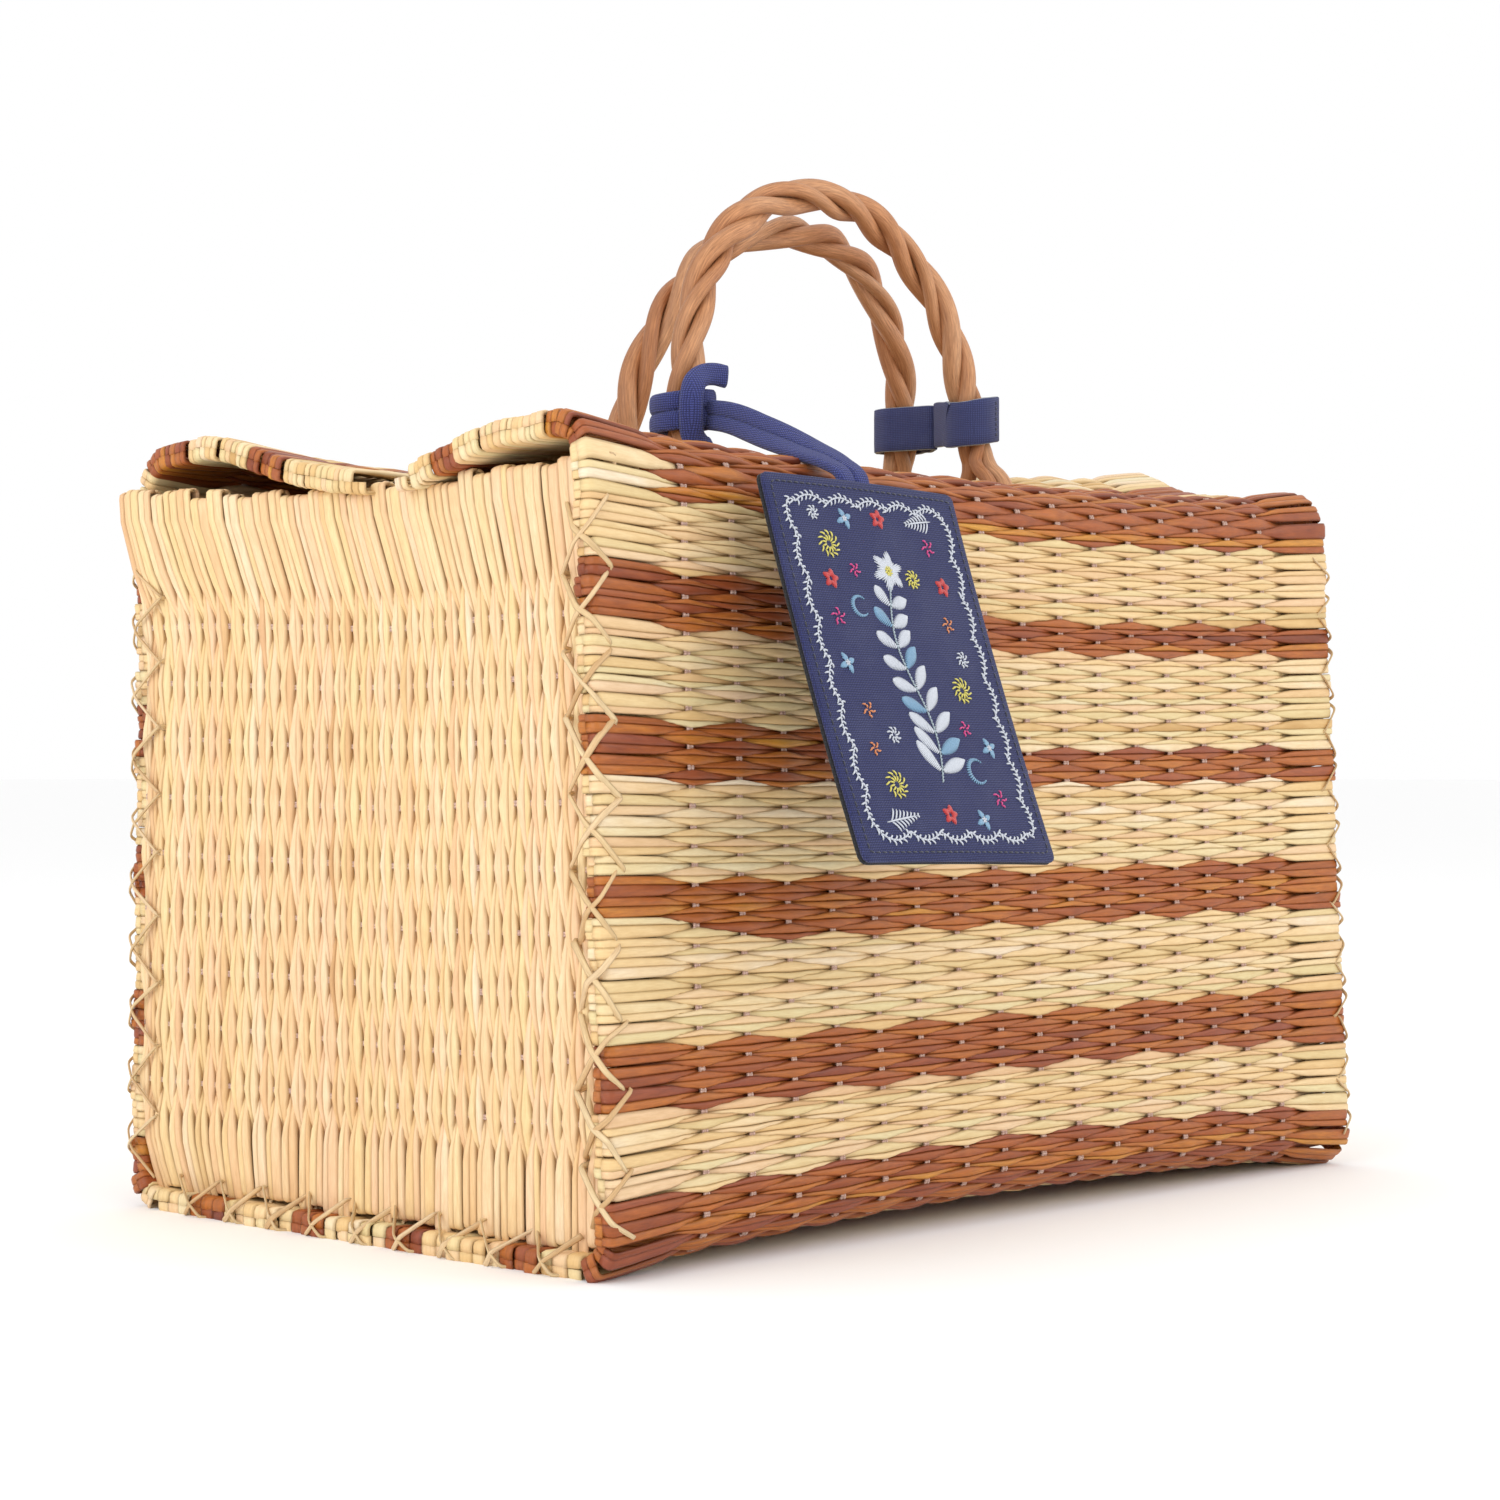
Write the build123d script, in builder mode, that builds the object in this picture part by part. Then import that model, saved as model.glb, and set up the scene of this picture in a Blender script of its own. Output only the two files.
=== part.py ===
from build123d import *

import os
from math import atan2, copysign, cos, degrees, hypot, pi, radians, sin, tan

# Woven reed market basket: a folded mat with two lids, laced end panels, two twisted willow
# handles, a canvas band round the handles and a canvas tag on a strap.
# Millimetres. Origin: middle of the base. +X along the basket, +Y to the back, +Z up.

# Basket body
basket_length = 380.0          # along X, over the edges of the mat
base_depth = 237.0             # along Y, outside, at the floor
mat_thickness = 6.0
front_wall_straight = 234.0    # height at which the front wall starts to bend into its lid
back_wall_straight = 238.0
front_wall_lean = 11.1         # inward lean of the front wall over its straight height
back_wall_lean = 3.4
fold_radius = 14.0             # of the mat's middle surface where wall turns into lid
fold_heading = 45.0            # slope of the mat at the fold axis, in degrees
bottom_edge_radius = 5.5
fold_clearance = 0.6           # between the wall's end and the rounded root of its lid
seat_gap = 0.3                 # between an end panel and the mat round it
panel_inset = 5.0              # of an end panel's outer face from the edge of the mat
panel_front_drop = 7.5         # of the panel's top below the front fold axis, at the front
panel_middle_drop = 9.5        # the same at the middle, under the lids' free edges
panel_back_drop = 4.5          # the same at the back
panel_rib_pitch = 26.0         # between the bundles of reeds that stand out on an end panel's faces
panel_groove_count = 7
panel_groove_width = 9.0       # of the hollow between two bundles
panel_groove_depth = 1.4
panel_groove_foot = 30.0       # height at which the hollows start, above the bottom lacing
panel_groove_length = 190.0

# Brown stripes
stripe_width = 17.0
front_first_stripe = 12.5      # height of the lowest stripe's middle
front_stripe_pitch = 45.5
front_stripe_count = 5
back_first_stripe = 16.0
back_stripe_pitch = 49.0
back_stripe_count = 5
bottom_stripe_pitch = 51.5
bottom_stripe_count = 4
fold_stripe_drop = 11.5        # of the front fold stripe's lower edge below the fold axis
lid_stripe_width = 16.0
front_lid_stripe_inset = 21.0  # of the stripe's middle from the lid's seam side edge line
back_lid_stripe_inset = 46.0
front_crest_stripe = 12.0      # how far the fold stripe runs on to the front lid
back_crest_stripe = 20.0

# Lids: one row for each section across the lid, from the left end to the right end.
# share of the half length, edge retreat from the seam line, and the heights above the
# fold axis of the crest, of the middle and of the free edge
seam_y = -12.0                 # middle of the seam between the two lids
seam_gap = 16.0
front_crest_run = 26.0         # from the fold axis to the crest
back_crest_run = 18.0
lid_middle_inset = 22.0        # of the middle point from the free edge
front_lid_sections = (
    (-1.0, -5.0, 8.3, -0.6, -4.9),
    (-0.5, -1.0, 1.5, -0.8, -1.5),
    (0.0, 0.0, -0.5, 0.5, 2.5),
    (0.5, -1.0, -0.2, 5.5, 12.5),
    (1.0, -3.0, 5.5, 10.5, 18.5),
)
back_lid_sections = (
    (-1.0, 15.0, 6.0, -5.5, -9.3),
    (-0.5, 4.0, 1.0, -3.0, -5.0),
    (0.0, 0.0, 0.0, -1.0, -1.0),
    (0.5, 0.0, 0.0, 0.0, 0.0),
    (1.0, 10.0, 4.0, 2.0, 0.0),
)

# Handles
rod_diameter = 5.9
strand_clearance = 0.5         # between two twisted rods
twist_turns = 3
hole_clearance = 0.35          # between a rod and its hole through the lid, in radius
handle_roundness = 2.24        # exponent of the arch, 2 for an ellipse
fork_height = 15.0             # above the feet, where the three rods have run together
hole_collar = 2.5              # straight stretch of a rod above its hole
fork_pair_offset = 8.0         # of the two outer rods' holes, away from the seam
fork_single_offset = 7.0       # of the third rod's hole, towards the seam
fork_pair_spread = 3.6         # of the outer rods' holes to each side
tail_length = 16.0             # of each rod's bent end under the lid
tail_gap = 2.2                 # of a tail below the mat
tail_bend_radius = 4.0
front_handle_width = 153.0     # between the legs' middle lines
front_handle_height = 103.0
front_handle_shift = -2.0      # of its middle along X
front_handle_inset = 15.5      # of its legs from the lid's edge line
front_handle_lean = 0.09       # towards the back, per height
back_handle_width = 146.5
back_handle_height = 95.0
back_handle_shift = 8.0
back_handle_inset = 16.0
back_handle_lean = -0.18
handle_foot_rise = 2.5         # of the handles' feet above the front fold axis

# Canvas band round the right legs
band_height = 16.5
band_thickness = 2.2
band_level = 30.0              # of its middle above the handles' feet
band_slack = 1.5               # between the rope and the band
band_tip_radius = 0.8
crossing_gap = 0.4             # between the two loops where they meet

# Tag, its strap and the hitch on the front handle's left leg
tag_width = 88.0
tag_length = 125.0
tag_front_thickness = 1.7
tag_back_thickness = 1.3
tag_corner_radius = 3.0
tag_swing_out = 21.0           # from hanging straight down, in degrees
tag_standoff = 19.8            # of the tag's hinge in front of the fold axis
tag_hinge_drop = 5.6           # of the tag's hinge below the fold axis
strap_width = 13.3
strap_thickness = 1.8
strap_slit = 0.3               # between the strap's two strands
strap_end_length = 7.0         # of the strap's last piece, down to the tag
hinge_clearance = 0.3          # between rounded and flat ends of strap and tag
hitch_level = 19.5             # of the hitch's middle above the handle's foot
hitch_slack = 1.2
hitch_thickness = 1.8
bight_width = 7.3
bight_height = 24.0
bight_thickness = 2.8

# Lacing
lacing_diameter = 1.8
lacing_pitch = 20.0            # height between two crossings
lacing_bottom = 10.0           # lowest point of the corner lacing
lacing_panel_reach = 14.0      # on to the end panel
lacing_wall_reach = 7.0        # on to the wall
lacing_bend_radius = 2.2
lacing_gap = 0.15              # between the strips and the reeds

half_length = basket_length / 2
half_depth = base_depth / 2
half_mat = mat_thickness / 2
rod_radius = rod_diameter / 2
rope_offset = (rod_diameter + strand_clearance) / 3**0.5
rope_radius = rope_offset + rod_radius
panel_outside = half_length - panel_inset
os.makedirs("parts", exist_ok=True)


def write_part(builder: BuildPart, name: str) -> None:
    """Labels a finished piece and writes its STEP file."""
    builder.part.label = name
    export_step(builder.part, f"parts/{name}.step")


def smooth(value: float) -> float:
    """Smooth step from 0 to 1."""
    value = min(max(value, 0.0), 1.0)
    return value * value * (3 - 2 * value)


# ---------------------------------------------------------------- walls and bottom
def wall_line_y(side: int, lean: float, straight: float, height: float) -> float:
    """Y of a wall's middle surface at a height; side is -1 in front and 1 at the back."""
    return side * (half_depth - half_mat - lean * height / straight)


def fold_axis(side: int, lean: float, straight: float) -> tuple[float, float]:
    """Y and Z of the axis at which a wall ends and its lid begins."""
    heading = atan2(straight, lean)
    run = fold_radius * (sin(heading) - sin(radians(fold_heading)))
    rise = fold_radius * (cos(radians(fold_heading)) - cos(heading))
    return wall_line_y(side, lean, straight, straight) - side * run, straight + rise


front_axis_y, front_axis_z = fold_axis(-1, front_wall_lean, front_wall_straight)
back_axis_y, back_axis_z = fold_axis(1, back_wall_lean, back_wall_straight)
wall_end_gap = half_mat + fold_clearance


def make_wall(side: int, lean: float, straight: float) -> BuildPart:
    """One wall, from the floor to the fold axis, with its bend at the top."""
    heading = degrees(atan2(straight, lean))
    bend_angle = heading - fold_heading - degrees(wall_end_gap / fold_radius)
    foot_y = wall_line_y(side, lean, straight, -mat_thickness)
    top_y = wall_line_y(side, lean, straight, straight)
    with BuildPart() as wall:
        with BuildLine(Plane.YZ) as middle_line:
            rise = Line((foot_y, -mat_thickness), (top_y, straight))
            JernArc(start=rise @ 1, tangent=rise % 1, radius=fold_radius, arc_size=side * bend_angle)
        section = Plane(origin=middle_line.line @ 0, x_dir=(1, 0, 0), z_dir=middle_line.line % 0)
        with BuildSketch(section):
            Rectangle(basket_length, mat_thickness)
        sweep()
        split(bisect_by=Plane.XY, keep=Keep.TOP)
        long_edges = wall.edges().filter_by(Axis.X)
        fillet(long_edges.group_by(Axis.Z)[0].sort_by(Axis.Y)[0 if side < 0 else -1], bottom_edge_radius)
        chamfer(wall.edges().filter_by(Axis.X).sort_by(Axis.Z)[-1], half_mat)
    return wall


def make_wall_stripes(first: float, pitch: float, count: int, top_band: float | None) -> BuildPart:
    """Level zones that hold a wall's brown reeds."""
    heights = [first + pitch * i for i in range(count)]
    with BuildPart() as zones:
        with Locations(*[(0, 0, height) for height in heights]):
            Box(2 * basket_length, 2 * base_depth, stripe_width)
        if top_band is not None:
            with Locations((0, 0, top_band)):
                Box(2 * basket_length, 2 * base_depth, 4 * fold_radius,
                    align=(Align.CENTER, Align.CENTER, Align.MIN))
    return zones


def write_reeds(whole: BuildPart, zones: BuildPart, name: str) -> None:
    """Parts a piece of mat into its brown reeds, inside the zones, and its natural reeds."""
    with BuildPart() as brown:
        add(whole.part)
        add(zones.part, mode=Mode.INTERSECT)
    write_part(brown, f"{name}_brown")
    with BuildPart() as natural:
        add(whole.part)
        add(zones.part, mode=Mode.SUBTRACT)
    write_part(natural, f"{name}_natural")


front_wall = make_wall(-1, front_wall_lean, front_wall_straight)
front_wall_stripes = make_wall_stripes(
    front_first_stripe, front_stripe_pitch, front_stripe_count, front_axis_z - fold_stripe_drop
)
write_reeds(front_wall, front_wall_stripes, "front_wall")

back_wall = make_wall(1, back_wall_lean, back_wall_straight)
back_wall_stripes = make_wall_stripes(back_first_stripe, back_stripe_pitch, back_stripe_count, None)
write_reeds(back_wall, back_wall_stripes, "back_wall")


def inner_wall_y(side: int, lean: float, straight: float, height: float) -> float:
    """Y of a wall's inner face at a height."""
    slope = hypot(1, lean / straight)
    return wall_line_y(side, lean, straight, height) - side * half_mat * slope


bottom_section = [
    (inner_wall_y(-1, front_wall_lean, front_wall_straight, 0), 0),
    (inner_wall_y(1, back_wall_lean, back_wall_straight, 0), 0),
    (inner_wall_y(1, back_wall_lean, back_wall_straight, mat_thickness), mat_thickness),
    (inner_wall_y(-1, front_wall_lean, front_wall_straight, mat_thickness), mat_thickness),
]
with BuildPart() as bottom:
    with BuildSketch(Plane.YZ):
        with BuildLine():
            Polyline(*bottom_section, close=True)
        make_face()
    extrude(amount=half_length, both=True)
with BuildPart() as bottom_stripes:
    with GridLocations(1, bottom_stripe_pitch, 1, bottom_stripe_count):
        Box(2 * basket_length, stripe_width, 4 * mat_thickness)
write_reeds(bottom, bottom_stripes, "bottom")


# ---------------------------------------------------------------- end panels
def make_end_panel(side: int) -> BuildPart:
    """One end panel, set in from the mat's edge and fitted between the walls and the bottom."""
    foot = mat_thickness + seat_gap
    front_top = front_axis_z - panel_front_drop
    back_top = front_axis_z - panel_back_drop
    outline = [
        (inner_wall_y(-1, front_wall_lean, front_wall_straight, foot) + seat_gap, foot),
        (inner_wall_y(1, back_wall_lean, back_wall_straight, foot) - seat_gap, foot),
        (inner_wall_y(1, back_wall_lean, back_wall_straight, back_top) - 2 * seat_gap, back_top),
        (seam_y, front_axis_z - panel_middle_drop),
        (inner_wall_y(-1, front_wall_lean, front_wall_straight, front_top) + 2 * seat_gap, front_top),
    ]
    with BuildPart() as panel:
        with BuildSketch(Plane.YZ.offset(side * panel_outside)):
            with BuildLine():
                Polyline(*outline, close=True)
            make_face()
        extrude(amount=-side * mat_thickness)
        for face_x, inward in ((panel_outside, -side), (panel_outside - mat_thickness, side)):
            with BuildSketch(Plane.YZ.offset(side * face_x)):
                with Locations((0, panel_groove_foot + panel_groove_length / 2)):
                    with GridLocations(panel_rib_pitch, 1, panel_groove_count, 1):
                        SlotOverall(panel_groove_length, panel_groove_width, rotation=90)
            extrude(amount=inward * panel_groove_depth, mode=Mode.SUBTRACT)
    return panel


write_part(make_end_panel(-1), "left_end_panel")
write_part(make_end_panel(1), "right_end_panel")


# ---------------------------------------------------------------- lids
class LidShape:
    """Middle surface of a lid: named sections across it, from the fold axis to the seam."""

    def __init__(self, side: int, axis_y: float, axis_z: float, crest_run: float, sections: tuple):
        self.side = side
        self.axis_y = axis_y
        self.axis_z = axis_z
        self.crest_y = axis_y - side * crest_run
        self.edge_line_y = seam_y + side * seam_gap / 2
        self.sections = sections

    def points(self, row: tuple) -> list[tuple[float, float]]:
        """(y, z) of the fold axis, crest, middle and free edge in one section."""
        _, retreat, crest, middle, edge = row
        edge_y = self.edge_line_y + self.side * abs(retreat)
        middle_y = self.edge_line_y + self.side * lid_middle_inset
        return [
            (self.axis_y, self.axis_z),
            (self.crest_y, self.axis_z + crest),
            (max(middle_y, edge_y, key=lambda y: self.side * y), self.axis_z + middle),
            (edge_y, self.axis_z + edge),
        ]

    def height(self, x: float, y: float) -> float:
        """Height of the middle surface near a point, with straight lines between the sections."""
        heights = []
        for row in self.sections:
            points = sorted(self.points(row))
            spans = list(zip(points, points[1:]))
            low, high = next((s for s in spans if s[0][0] <= y <= s[1][0]), spans[0 if y < 0 else -1])
            share = (y - low[0]) / (high[0] - low[0])
            heights.append((row[0] * half_length, low[1] + share * (high[1] - low[1])))
        for (x_low, z_low), (x_high, z_high) in zip(heights, heights[1:]):
            if x_low <= x <= x_high:
                return z_low + (x - x_low) / (x_high - x_low) * (z_high - z_low)
        return heights[-1][1]


front_lid = LidShape(-1, front_axis_y, front_axis_z, front_crest_run, front_lid_sections)
back_lid = LidShape(1, back_axis_y, back_axis_z, back_crest_run, back_lid_sections)


lid_face_steps = 8
zone_height = 120.0            # of the boxes that part the reeds; taller than a lid's rise


def lid_faces(lid: LidShape, row: tuple) -> tuple[list[Vector], list[Vector]]:
    """Points of the upper and the lower face of a lid in one section."""
    root_direction = (-lid.side * cos(radians(fold_heading)), sin(radians(fold_heading)))
    middle = Spline(*lid.points(row), tangents=(root_direction, (-lid.side, 0)), tangent_scalars=(1, 0.3))
    upper = []
    lower = []
    for i in range(lid_face_steps + 1):
        spot = middle @ (i / lid_face_steps)
        along = middle % (i / lid_face_steps)
        normal = Vector(along.Y, -along.X) * lid.side
        upper.append(spot + normal * half_mat)
        lower.append(spot - normal * half_mat)
    return upper, lower


def handle_feet(lid: LidShape, width: float, shift: float, inset: float) -> list[tuple[float, float]]:
    """(x, y) of the left and right foot of a handle."""
    foot_y = lid.edge_line_y + lid.side * inset
    return [(shift - width / 2, foot_y), (shift + width / 2, foot_y)]


def rod_hole(lid: LidShape, foot: tuple[float, float], foot_side: int, rod: int) -> tuple[float, float]:
    """(x, y) of one rod's hole at a foot; rod 0 is the single one, 1 the outer, 2 the inner."""
    if rod == 0:
        return foot[0], foot[1] - lid.side * fork_single_offset
    sideways = foot_side * fork_pair_spread * (1 if rod == 1 else -1)
    return foot[0] + sideways, foot[1] + lid.side * fork_pair_offset


def make_lid(lid: LidShape, feet: list) -> BuildPart:
    """One lid: a lofted mat with a rounded root on the fold axis and the rods' holes."""
    holes = [rod_hole(lid, foot, side, rod) for foot, side in zip(feet, (-1, 1)) for rod in range(3)]
    outlines = [lid_faces(lid, row) for row in lid.sections]
    with BuildPart() as slab:
        for row, (upper, lower) in zip(lid.sections, outlines):
            with BuildSketch(Plane.YZ.offset(row[0] * half_length)):
                with BuildLine():
                    top = Spline(*upper)
                    base = Spline(*lower)
                    Line(top @ 0, base @ 0)
                    Line(top @ 1, base @ 1)
                make_face()
        loft()
        with Locations(Location((0, lid.axis_y, lid.axis_z), (0, 90, 0))):
            Cylinder(half_mat, basket_length)
        with Locations(*[(x, y, lid.axis_z) for x, y in holes]):
            Cylinder(rod_radius + hole_clearance, zone_height, mode=Mode.SUBTRACT)
    return slab


def make_lid_stripes(lid: LidShape, crest_stripe: float, stripe_inset: float) -> BuildPart:
    """Zones of a lid's brown reeds: one from the fold, one near the free edge."""
    stripe_y = lid.edge_line_y + lid.side * stripe_inset
    far_y = lid.axis_y + lid.side * 2 * half_mat
    near_y = lid.axis_y - lid.side * crest_stripe
    with BuildPart() as zones:
        with Locations((0, stripe_y, lid.axis_z)):
            Box(2 * basket_length, lid_stripe_width, zone_height)
        with Locations((0, (far_y + near_y) / 2, lid.axis_z)):
            Box(2 * basket_length, abs(far_y - near_y), zone_height)
    return zones


front_feet = handle_feet(front_lid, front_handle_width, front_handle_shift, front_handle_inset)
back_feet = handle_feet(back_lid, back_handle_width, back_handle_shift, back_handle_inset)
front_lid_stripes = make_lid_stripes(front_lid, front_crest_stripe, front_lid_stripe_inset)
back_lid_stripes = make_lid_stripes(back_lid, back_crest_stripe, back_lid_stripe_inset)
write_reeds(make_lid(front_lid, front_feet), front_lid_stripes, "front_lid")
write_reeds(make_lid(back_lid, back_feet), back_lid_stripes, "back_lid")


# ---------------------------------------------------------------- handles
class Arch:
    """Middle line of a handle: a superellipse that leans with its height."""

    def __init__(self, feet: list, height: float, lean: float):
        self.middle_x = (feet[0][0] + feet[1][0]) / 2
        self.half_width = (feet[1][0] - feet[0][0]) / 2
        self.foot_y = feet[0][1]
        self.foot_z = front_axis_z + handle_foot_rise
        self.height = height
        self.lean = lean

    def at(self, angle: float) -> Vector:
        """Point at an angle that runs from pi at the left foot to 0 at the right foot."""
        power = 2 / handle_roundness
        across = copysign(abs(cos(angle)) ** power, cos(angle))
        rise = self.height * max(sin(angle), 0.0) ** power
        return Vector(self.middle_x + self.half_width * across, self.foot_y + self.lean * rise,
                      self.foot_z + rise)

    def leg_at(self, side: int, rise: float) -> Vector:
        """Point of the left (-1) or right (1) leg at a height above the foot."""
        across = (1 - (rise / self.height) ** handle_roundness) ** (1 / handle_roundness)
        return Vector(self.middle_x + side * self.half_width * across, self.foot_y + self.lean * rise,
                      self.foot_z + rise)


front_arch = Arch(front_feet, front_handle_height, front_handle_lean)
back_arch = Arch(back_feet, back_handle_height, back_handle_lean)
arch_steps = 60                # pieces that a rod's twisted path is drawn in
fine_steps = 2000              # of the angle, to measure the arch's length
bend_share = 0.45              # of the shorter run beside a corner that its arc takes up


def even_angles(arch: Arch) -> list[float]:
    """Angles from pi to 0 that part the arch into steps of equal length."""
    fine = [pi * (1 - i / fine_steps) for i in range(fine_steps + 1)]
    spots = [arch.at(angle) for angle in fine]
    travelled = [0.0]
    for near, far in zip(spots, spots[1:]):
        travelled.append(travelled[-1] + (far - near).length)
    angles = []
    for i in range(arch_steps + 1):
        goal = travelled[-1] * i / arch_steps
        angles.append(fine[next(k for k, run in enumerate(travelled) if run >= goal - 1e-6)])
    return angles


def rod_route(arch: Arch, lid: LidShape, feet: list, rod: int) -> list[Vector]:
    """Corners of one rod's path: bent tail, hole, twisted arch, hole and bent tail."""
    holes = [rod_hole(lid, foot, side, rod) for foot, side in zip(feet, (-1, 1))]
    levels = [lid.height(*hole) for hole in holes]
    arch_normal = Vector(0, -1, arch.lean).normalized() * lid.side
    twisted = []
    angles = even_angles(arch)
    spots = [arch.at(angle) for angle in angles]
    joined_z = arch.foot_z + fork_height
    first = next(i for i, spot in enumerate(spots) if spot.Z >= joined_z)
    for i in range(1, arch_steps):
        spot = spots[i]
        along = (spots[i + 1] - spots[i - 1]).normalized()
        share = min(max((i - first) / (arch_steps - 2 * first), 0.0), 1.0)
        phase = 2 * pi * (twist_turns * share + rod / 3)
        offset = arch_normal * cos(phase) + along.cross(arch_normal) * (-lid.side * sin(phase))
        foot = 0 if i < arch_steps / 2 else 1
        clear_z = levels[foot] + half_mat + hole_collar
        if spot.Z < clear_z:
            continue
        joined = smooth((spot.Z - clear_z) / (joined_z - clear_z))
        straight_up = Vector(holes[foot][0], holes[foot][1], spot.Z)
        twisted.append((spot + offset * rope_offset) * joined + straight_up * (1 - joined))
    ends = []
    for hole, level, side in zip(holes, levels, (-1, 1)):
        way = (0, lid.side) if rod else (side, 0)
        tip = (hole[0] + way[0] * tail_length, hole[1] + way[1] * tail_length)
        under_mat = half_mat + tail_gap + rod_radius
        ends.append([
            Vector(*tip, lid.height(*tip) - under_mat),
            Vector(*hole, level - under_mat),
            Vector(*hole, level + half_mat),
        ])
    return ends[0] + twisted + ends[1][::-1]


def corner_radii(route: list[Vector], share: float) -> list[float]:
    """Bend radius at each inner corner of a route, from the shorter run beside it."""
    radii = []
    for before, here, after in zip(route, route[1:], route[2:]):
        shorter = min((here - before).length, (after - here).length)
        half_turn = radians((here - before).get_angle(after - here)) / 2
        radii.append(share * shorter / tan(max(half_turn, 1e-3)))
    return radii


def make_round_rod(route: list[Vector], radius: float, radii: list[float]) -> BuildPart:
    """A round rod along a route of straight runs joined by arcs."""
    with BuildPart() as rod:
        with BuildLine() as line:
            FilletPolyline(*route, radius=radii)
        with BuildSketch(Plane(origin=line.line @ 0, z_dir=line.line % 0)):
            Circle(radius)
        sweep()
    return rod


for handle_name, arch, lid, feet in (("front", front_arch, front_lid, front_feet),
                                     ("back", back_arch, back_lid, back_feet)):
    for rod in range(3):
        route = rod_route(arch, lid, feet, rod)
        radii = corner_radii(route, bend_share)
        radii[0] = radii[-1] = tail_bend_radius
        write_part(make_round_rod(route, rod_radius, radii), f"{handle_name}_handle_rod_{rod + 1}")


# ---------------------------------------------------------------- canvas band
def make_band_loop(leg: Vector, other_leg: Vector) -> BuildPart:
    """One loop of the band: a strip round a leg, drawn in to a tip half way to the other leg."""
    towards = Vector(other_leg.X - leg.X, other_leg.Y - leg.Y, 0)
    tip_reach = towards.length / 2 - crossing_gap / 2
    inner = rope_radius + band_slack
    tip_centre = tip_reach - band_thickness - band_tip_radius
    plane = Plane(origin=leg, x_dir=towards, z_dir=(0, 0, 1))
    with BuildPart() as loop:
        with BuildSketch(plane):
            with BuildLine():
                make_hull_line(inner + band_thickness, band_tip_radius + band_thickness, tip_centre)
            make_face()
            with BuildLine():
                make_hull_line(inner, band_tip_radius, tip_centre)
            make_face(mode=Mode.SUBTRACT)
        extrude(amount=band_height / 2, both=True)
    return loop


def make_hull_line(big: float, small: float, distance: float) -> None:
    """Outline of a belt round a big circle at the origin and a small one at a distance."""
    touch = degrees(pi / 2 - atan2(big - small, (distance**2 - (big - small) ** 2) ** 0.5))
    wide = CenterArc((0, 0), big, touch, 360 - 2 * touch)
    tip = CenterArc((distance, 0), small, -touch, 2 * touch)
    Line(wide @ 0, tip @ 1)
    Line(wide @ 1, tip @ 0)


front_band_leg = front_arch.leg_at(1, band_level)
back_band_leg = back_arch.leg_at(1, band_level)
write_part(make_band_loop(front_band_leg, back_band_leg), "front_band_loop")
write_part(make_band_loop(back_band_leg, front_band_leg), "back_band_loop")

# ---------------------------------------------------------------- strap hitch
hitch_leg = front_arch.leg_at(-1, hitch_level)
hitch_inner = rope_radius + hitch_slack
bight_y = hitch_leg.Y - hitch_inner - hitch_thickness - bight_thickness / 2
with BuildPart() as strap_hitch:
    with BuildSketch(Plane.XY.offset(hitch_leg.Z - strap_width / 2)):
        with Locations((hitch_leg.X, hitch_leg.Y)):
            Circle(hitch_inner + hitch_thickness)
            Circle(hitch_inner, mode=Mode.SUBTRACT)
    extrude(amount=strap_width)
    with BuildSketch(Plane.XZ.offset(-bight_y)):
        with Locations((hitch_leg.X, hitch_leg.Z)):
            RectangleRounded(bight_width, bight_height, bight_width / 3)
    extrude(amount=bight_thickness / 2, both=True)
    with Locations((hitch_leg.X, bight_y + bight_thickness / 2, hitch_leg.Z)):
        Box(bight_width / 2, 2 * hitch_thickness, strap_width / 2)
write_part(strap_hitch, "strap_hitch")

# ---------------------------------------------------------------- strap and tag
strap_half = strap_thickness / 2
tag_down = Vector(0, -sin(radians(tag_swing_out)), -cos(radians(tag_swing_out)))
tag_hinge = Vector(hitch_leg.X - 11, front_axis_y - tag_standoff, front_axis_z - tag_hinge_drop)
strap_end_start = tag_hinge - tag_down * strap_end_length
strap_pivot = Vector(
    hitch_leg.X, bight_y - bight_thickness / 2 - hinge_clearance - strap_width / 2 - strap_slit, hitch_leg.Z
)
strand_width = (strap_width - strap_slit) / 2
strap_span = strap_end_start - strap_pivot
strap_last = strap_half + hinge_clearance
strap_head_radius = strap_width / 2 + strap_slit
# share of the way to the tag, share of the way sideways, bulge above the straight line, and twist
strap_stations = (
    (0.0, 0.0, 0.0, 0.0),
    (0.33, 0.4, 2.6, 38.0),
    (0.66, 0.8, 4.6, 74.0),
    (0.86, 1.0, 3.6, 88.0),
    (1.0, 1.0, 0.0, 90.0),
)


def strap_planes() -> list[Plane]:
    """Cross-section planes of the strap, which starts upright and ends lying on its flat."""
    spots = [
        strap_pivot + Vector(strap_span.X * sideways, strap_span.Y * share, strap_span.Z * share + bulge)
        for share, sideways, bulge, _ in strap_stations
    ]
    spots[-1] = spots[-1] - (spots[-1] - spots[-2]).normalized() * strap_last
    planes = []
    for i, station in enumerate(strap_stations):
        ahead = spots[min(i + 1, len(spots) - 1)]
        behind = spots[max(i - 1, 0)]
        flat = Plane(origin=spots[i], x_dir=(1, 0, 0), z_dir=ahead - behind)
        twist = radians(station[-1])
        width_way = flat.x_dir * sin(twist) + flat.y_dir * cos(twist)
        planes.append(Plane(origin=spots[i], x_dir=width_way, z_dir=ahead - behind))
    return planes


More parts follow.
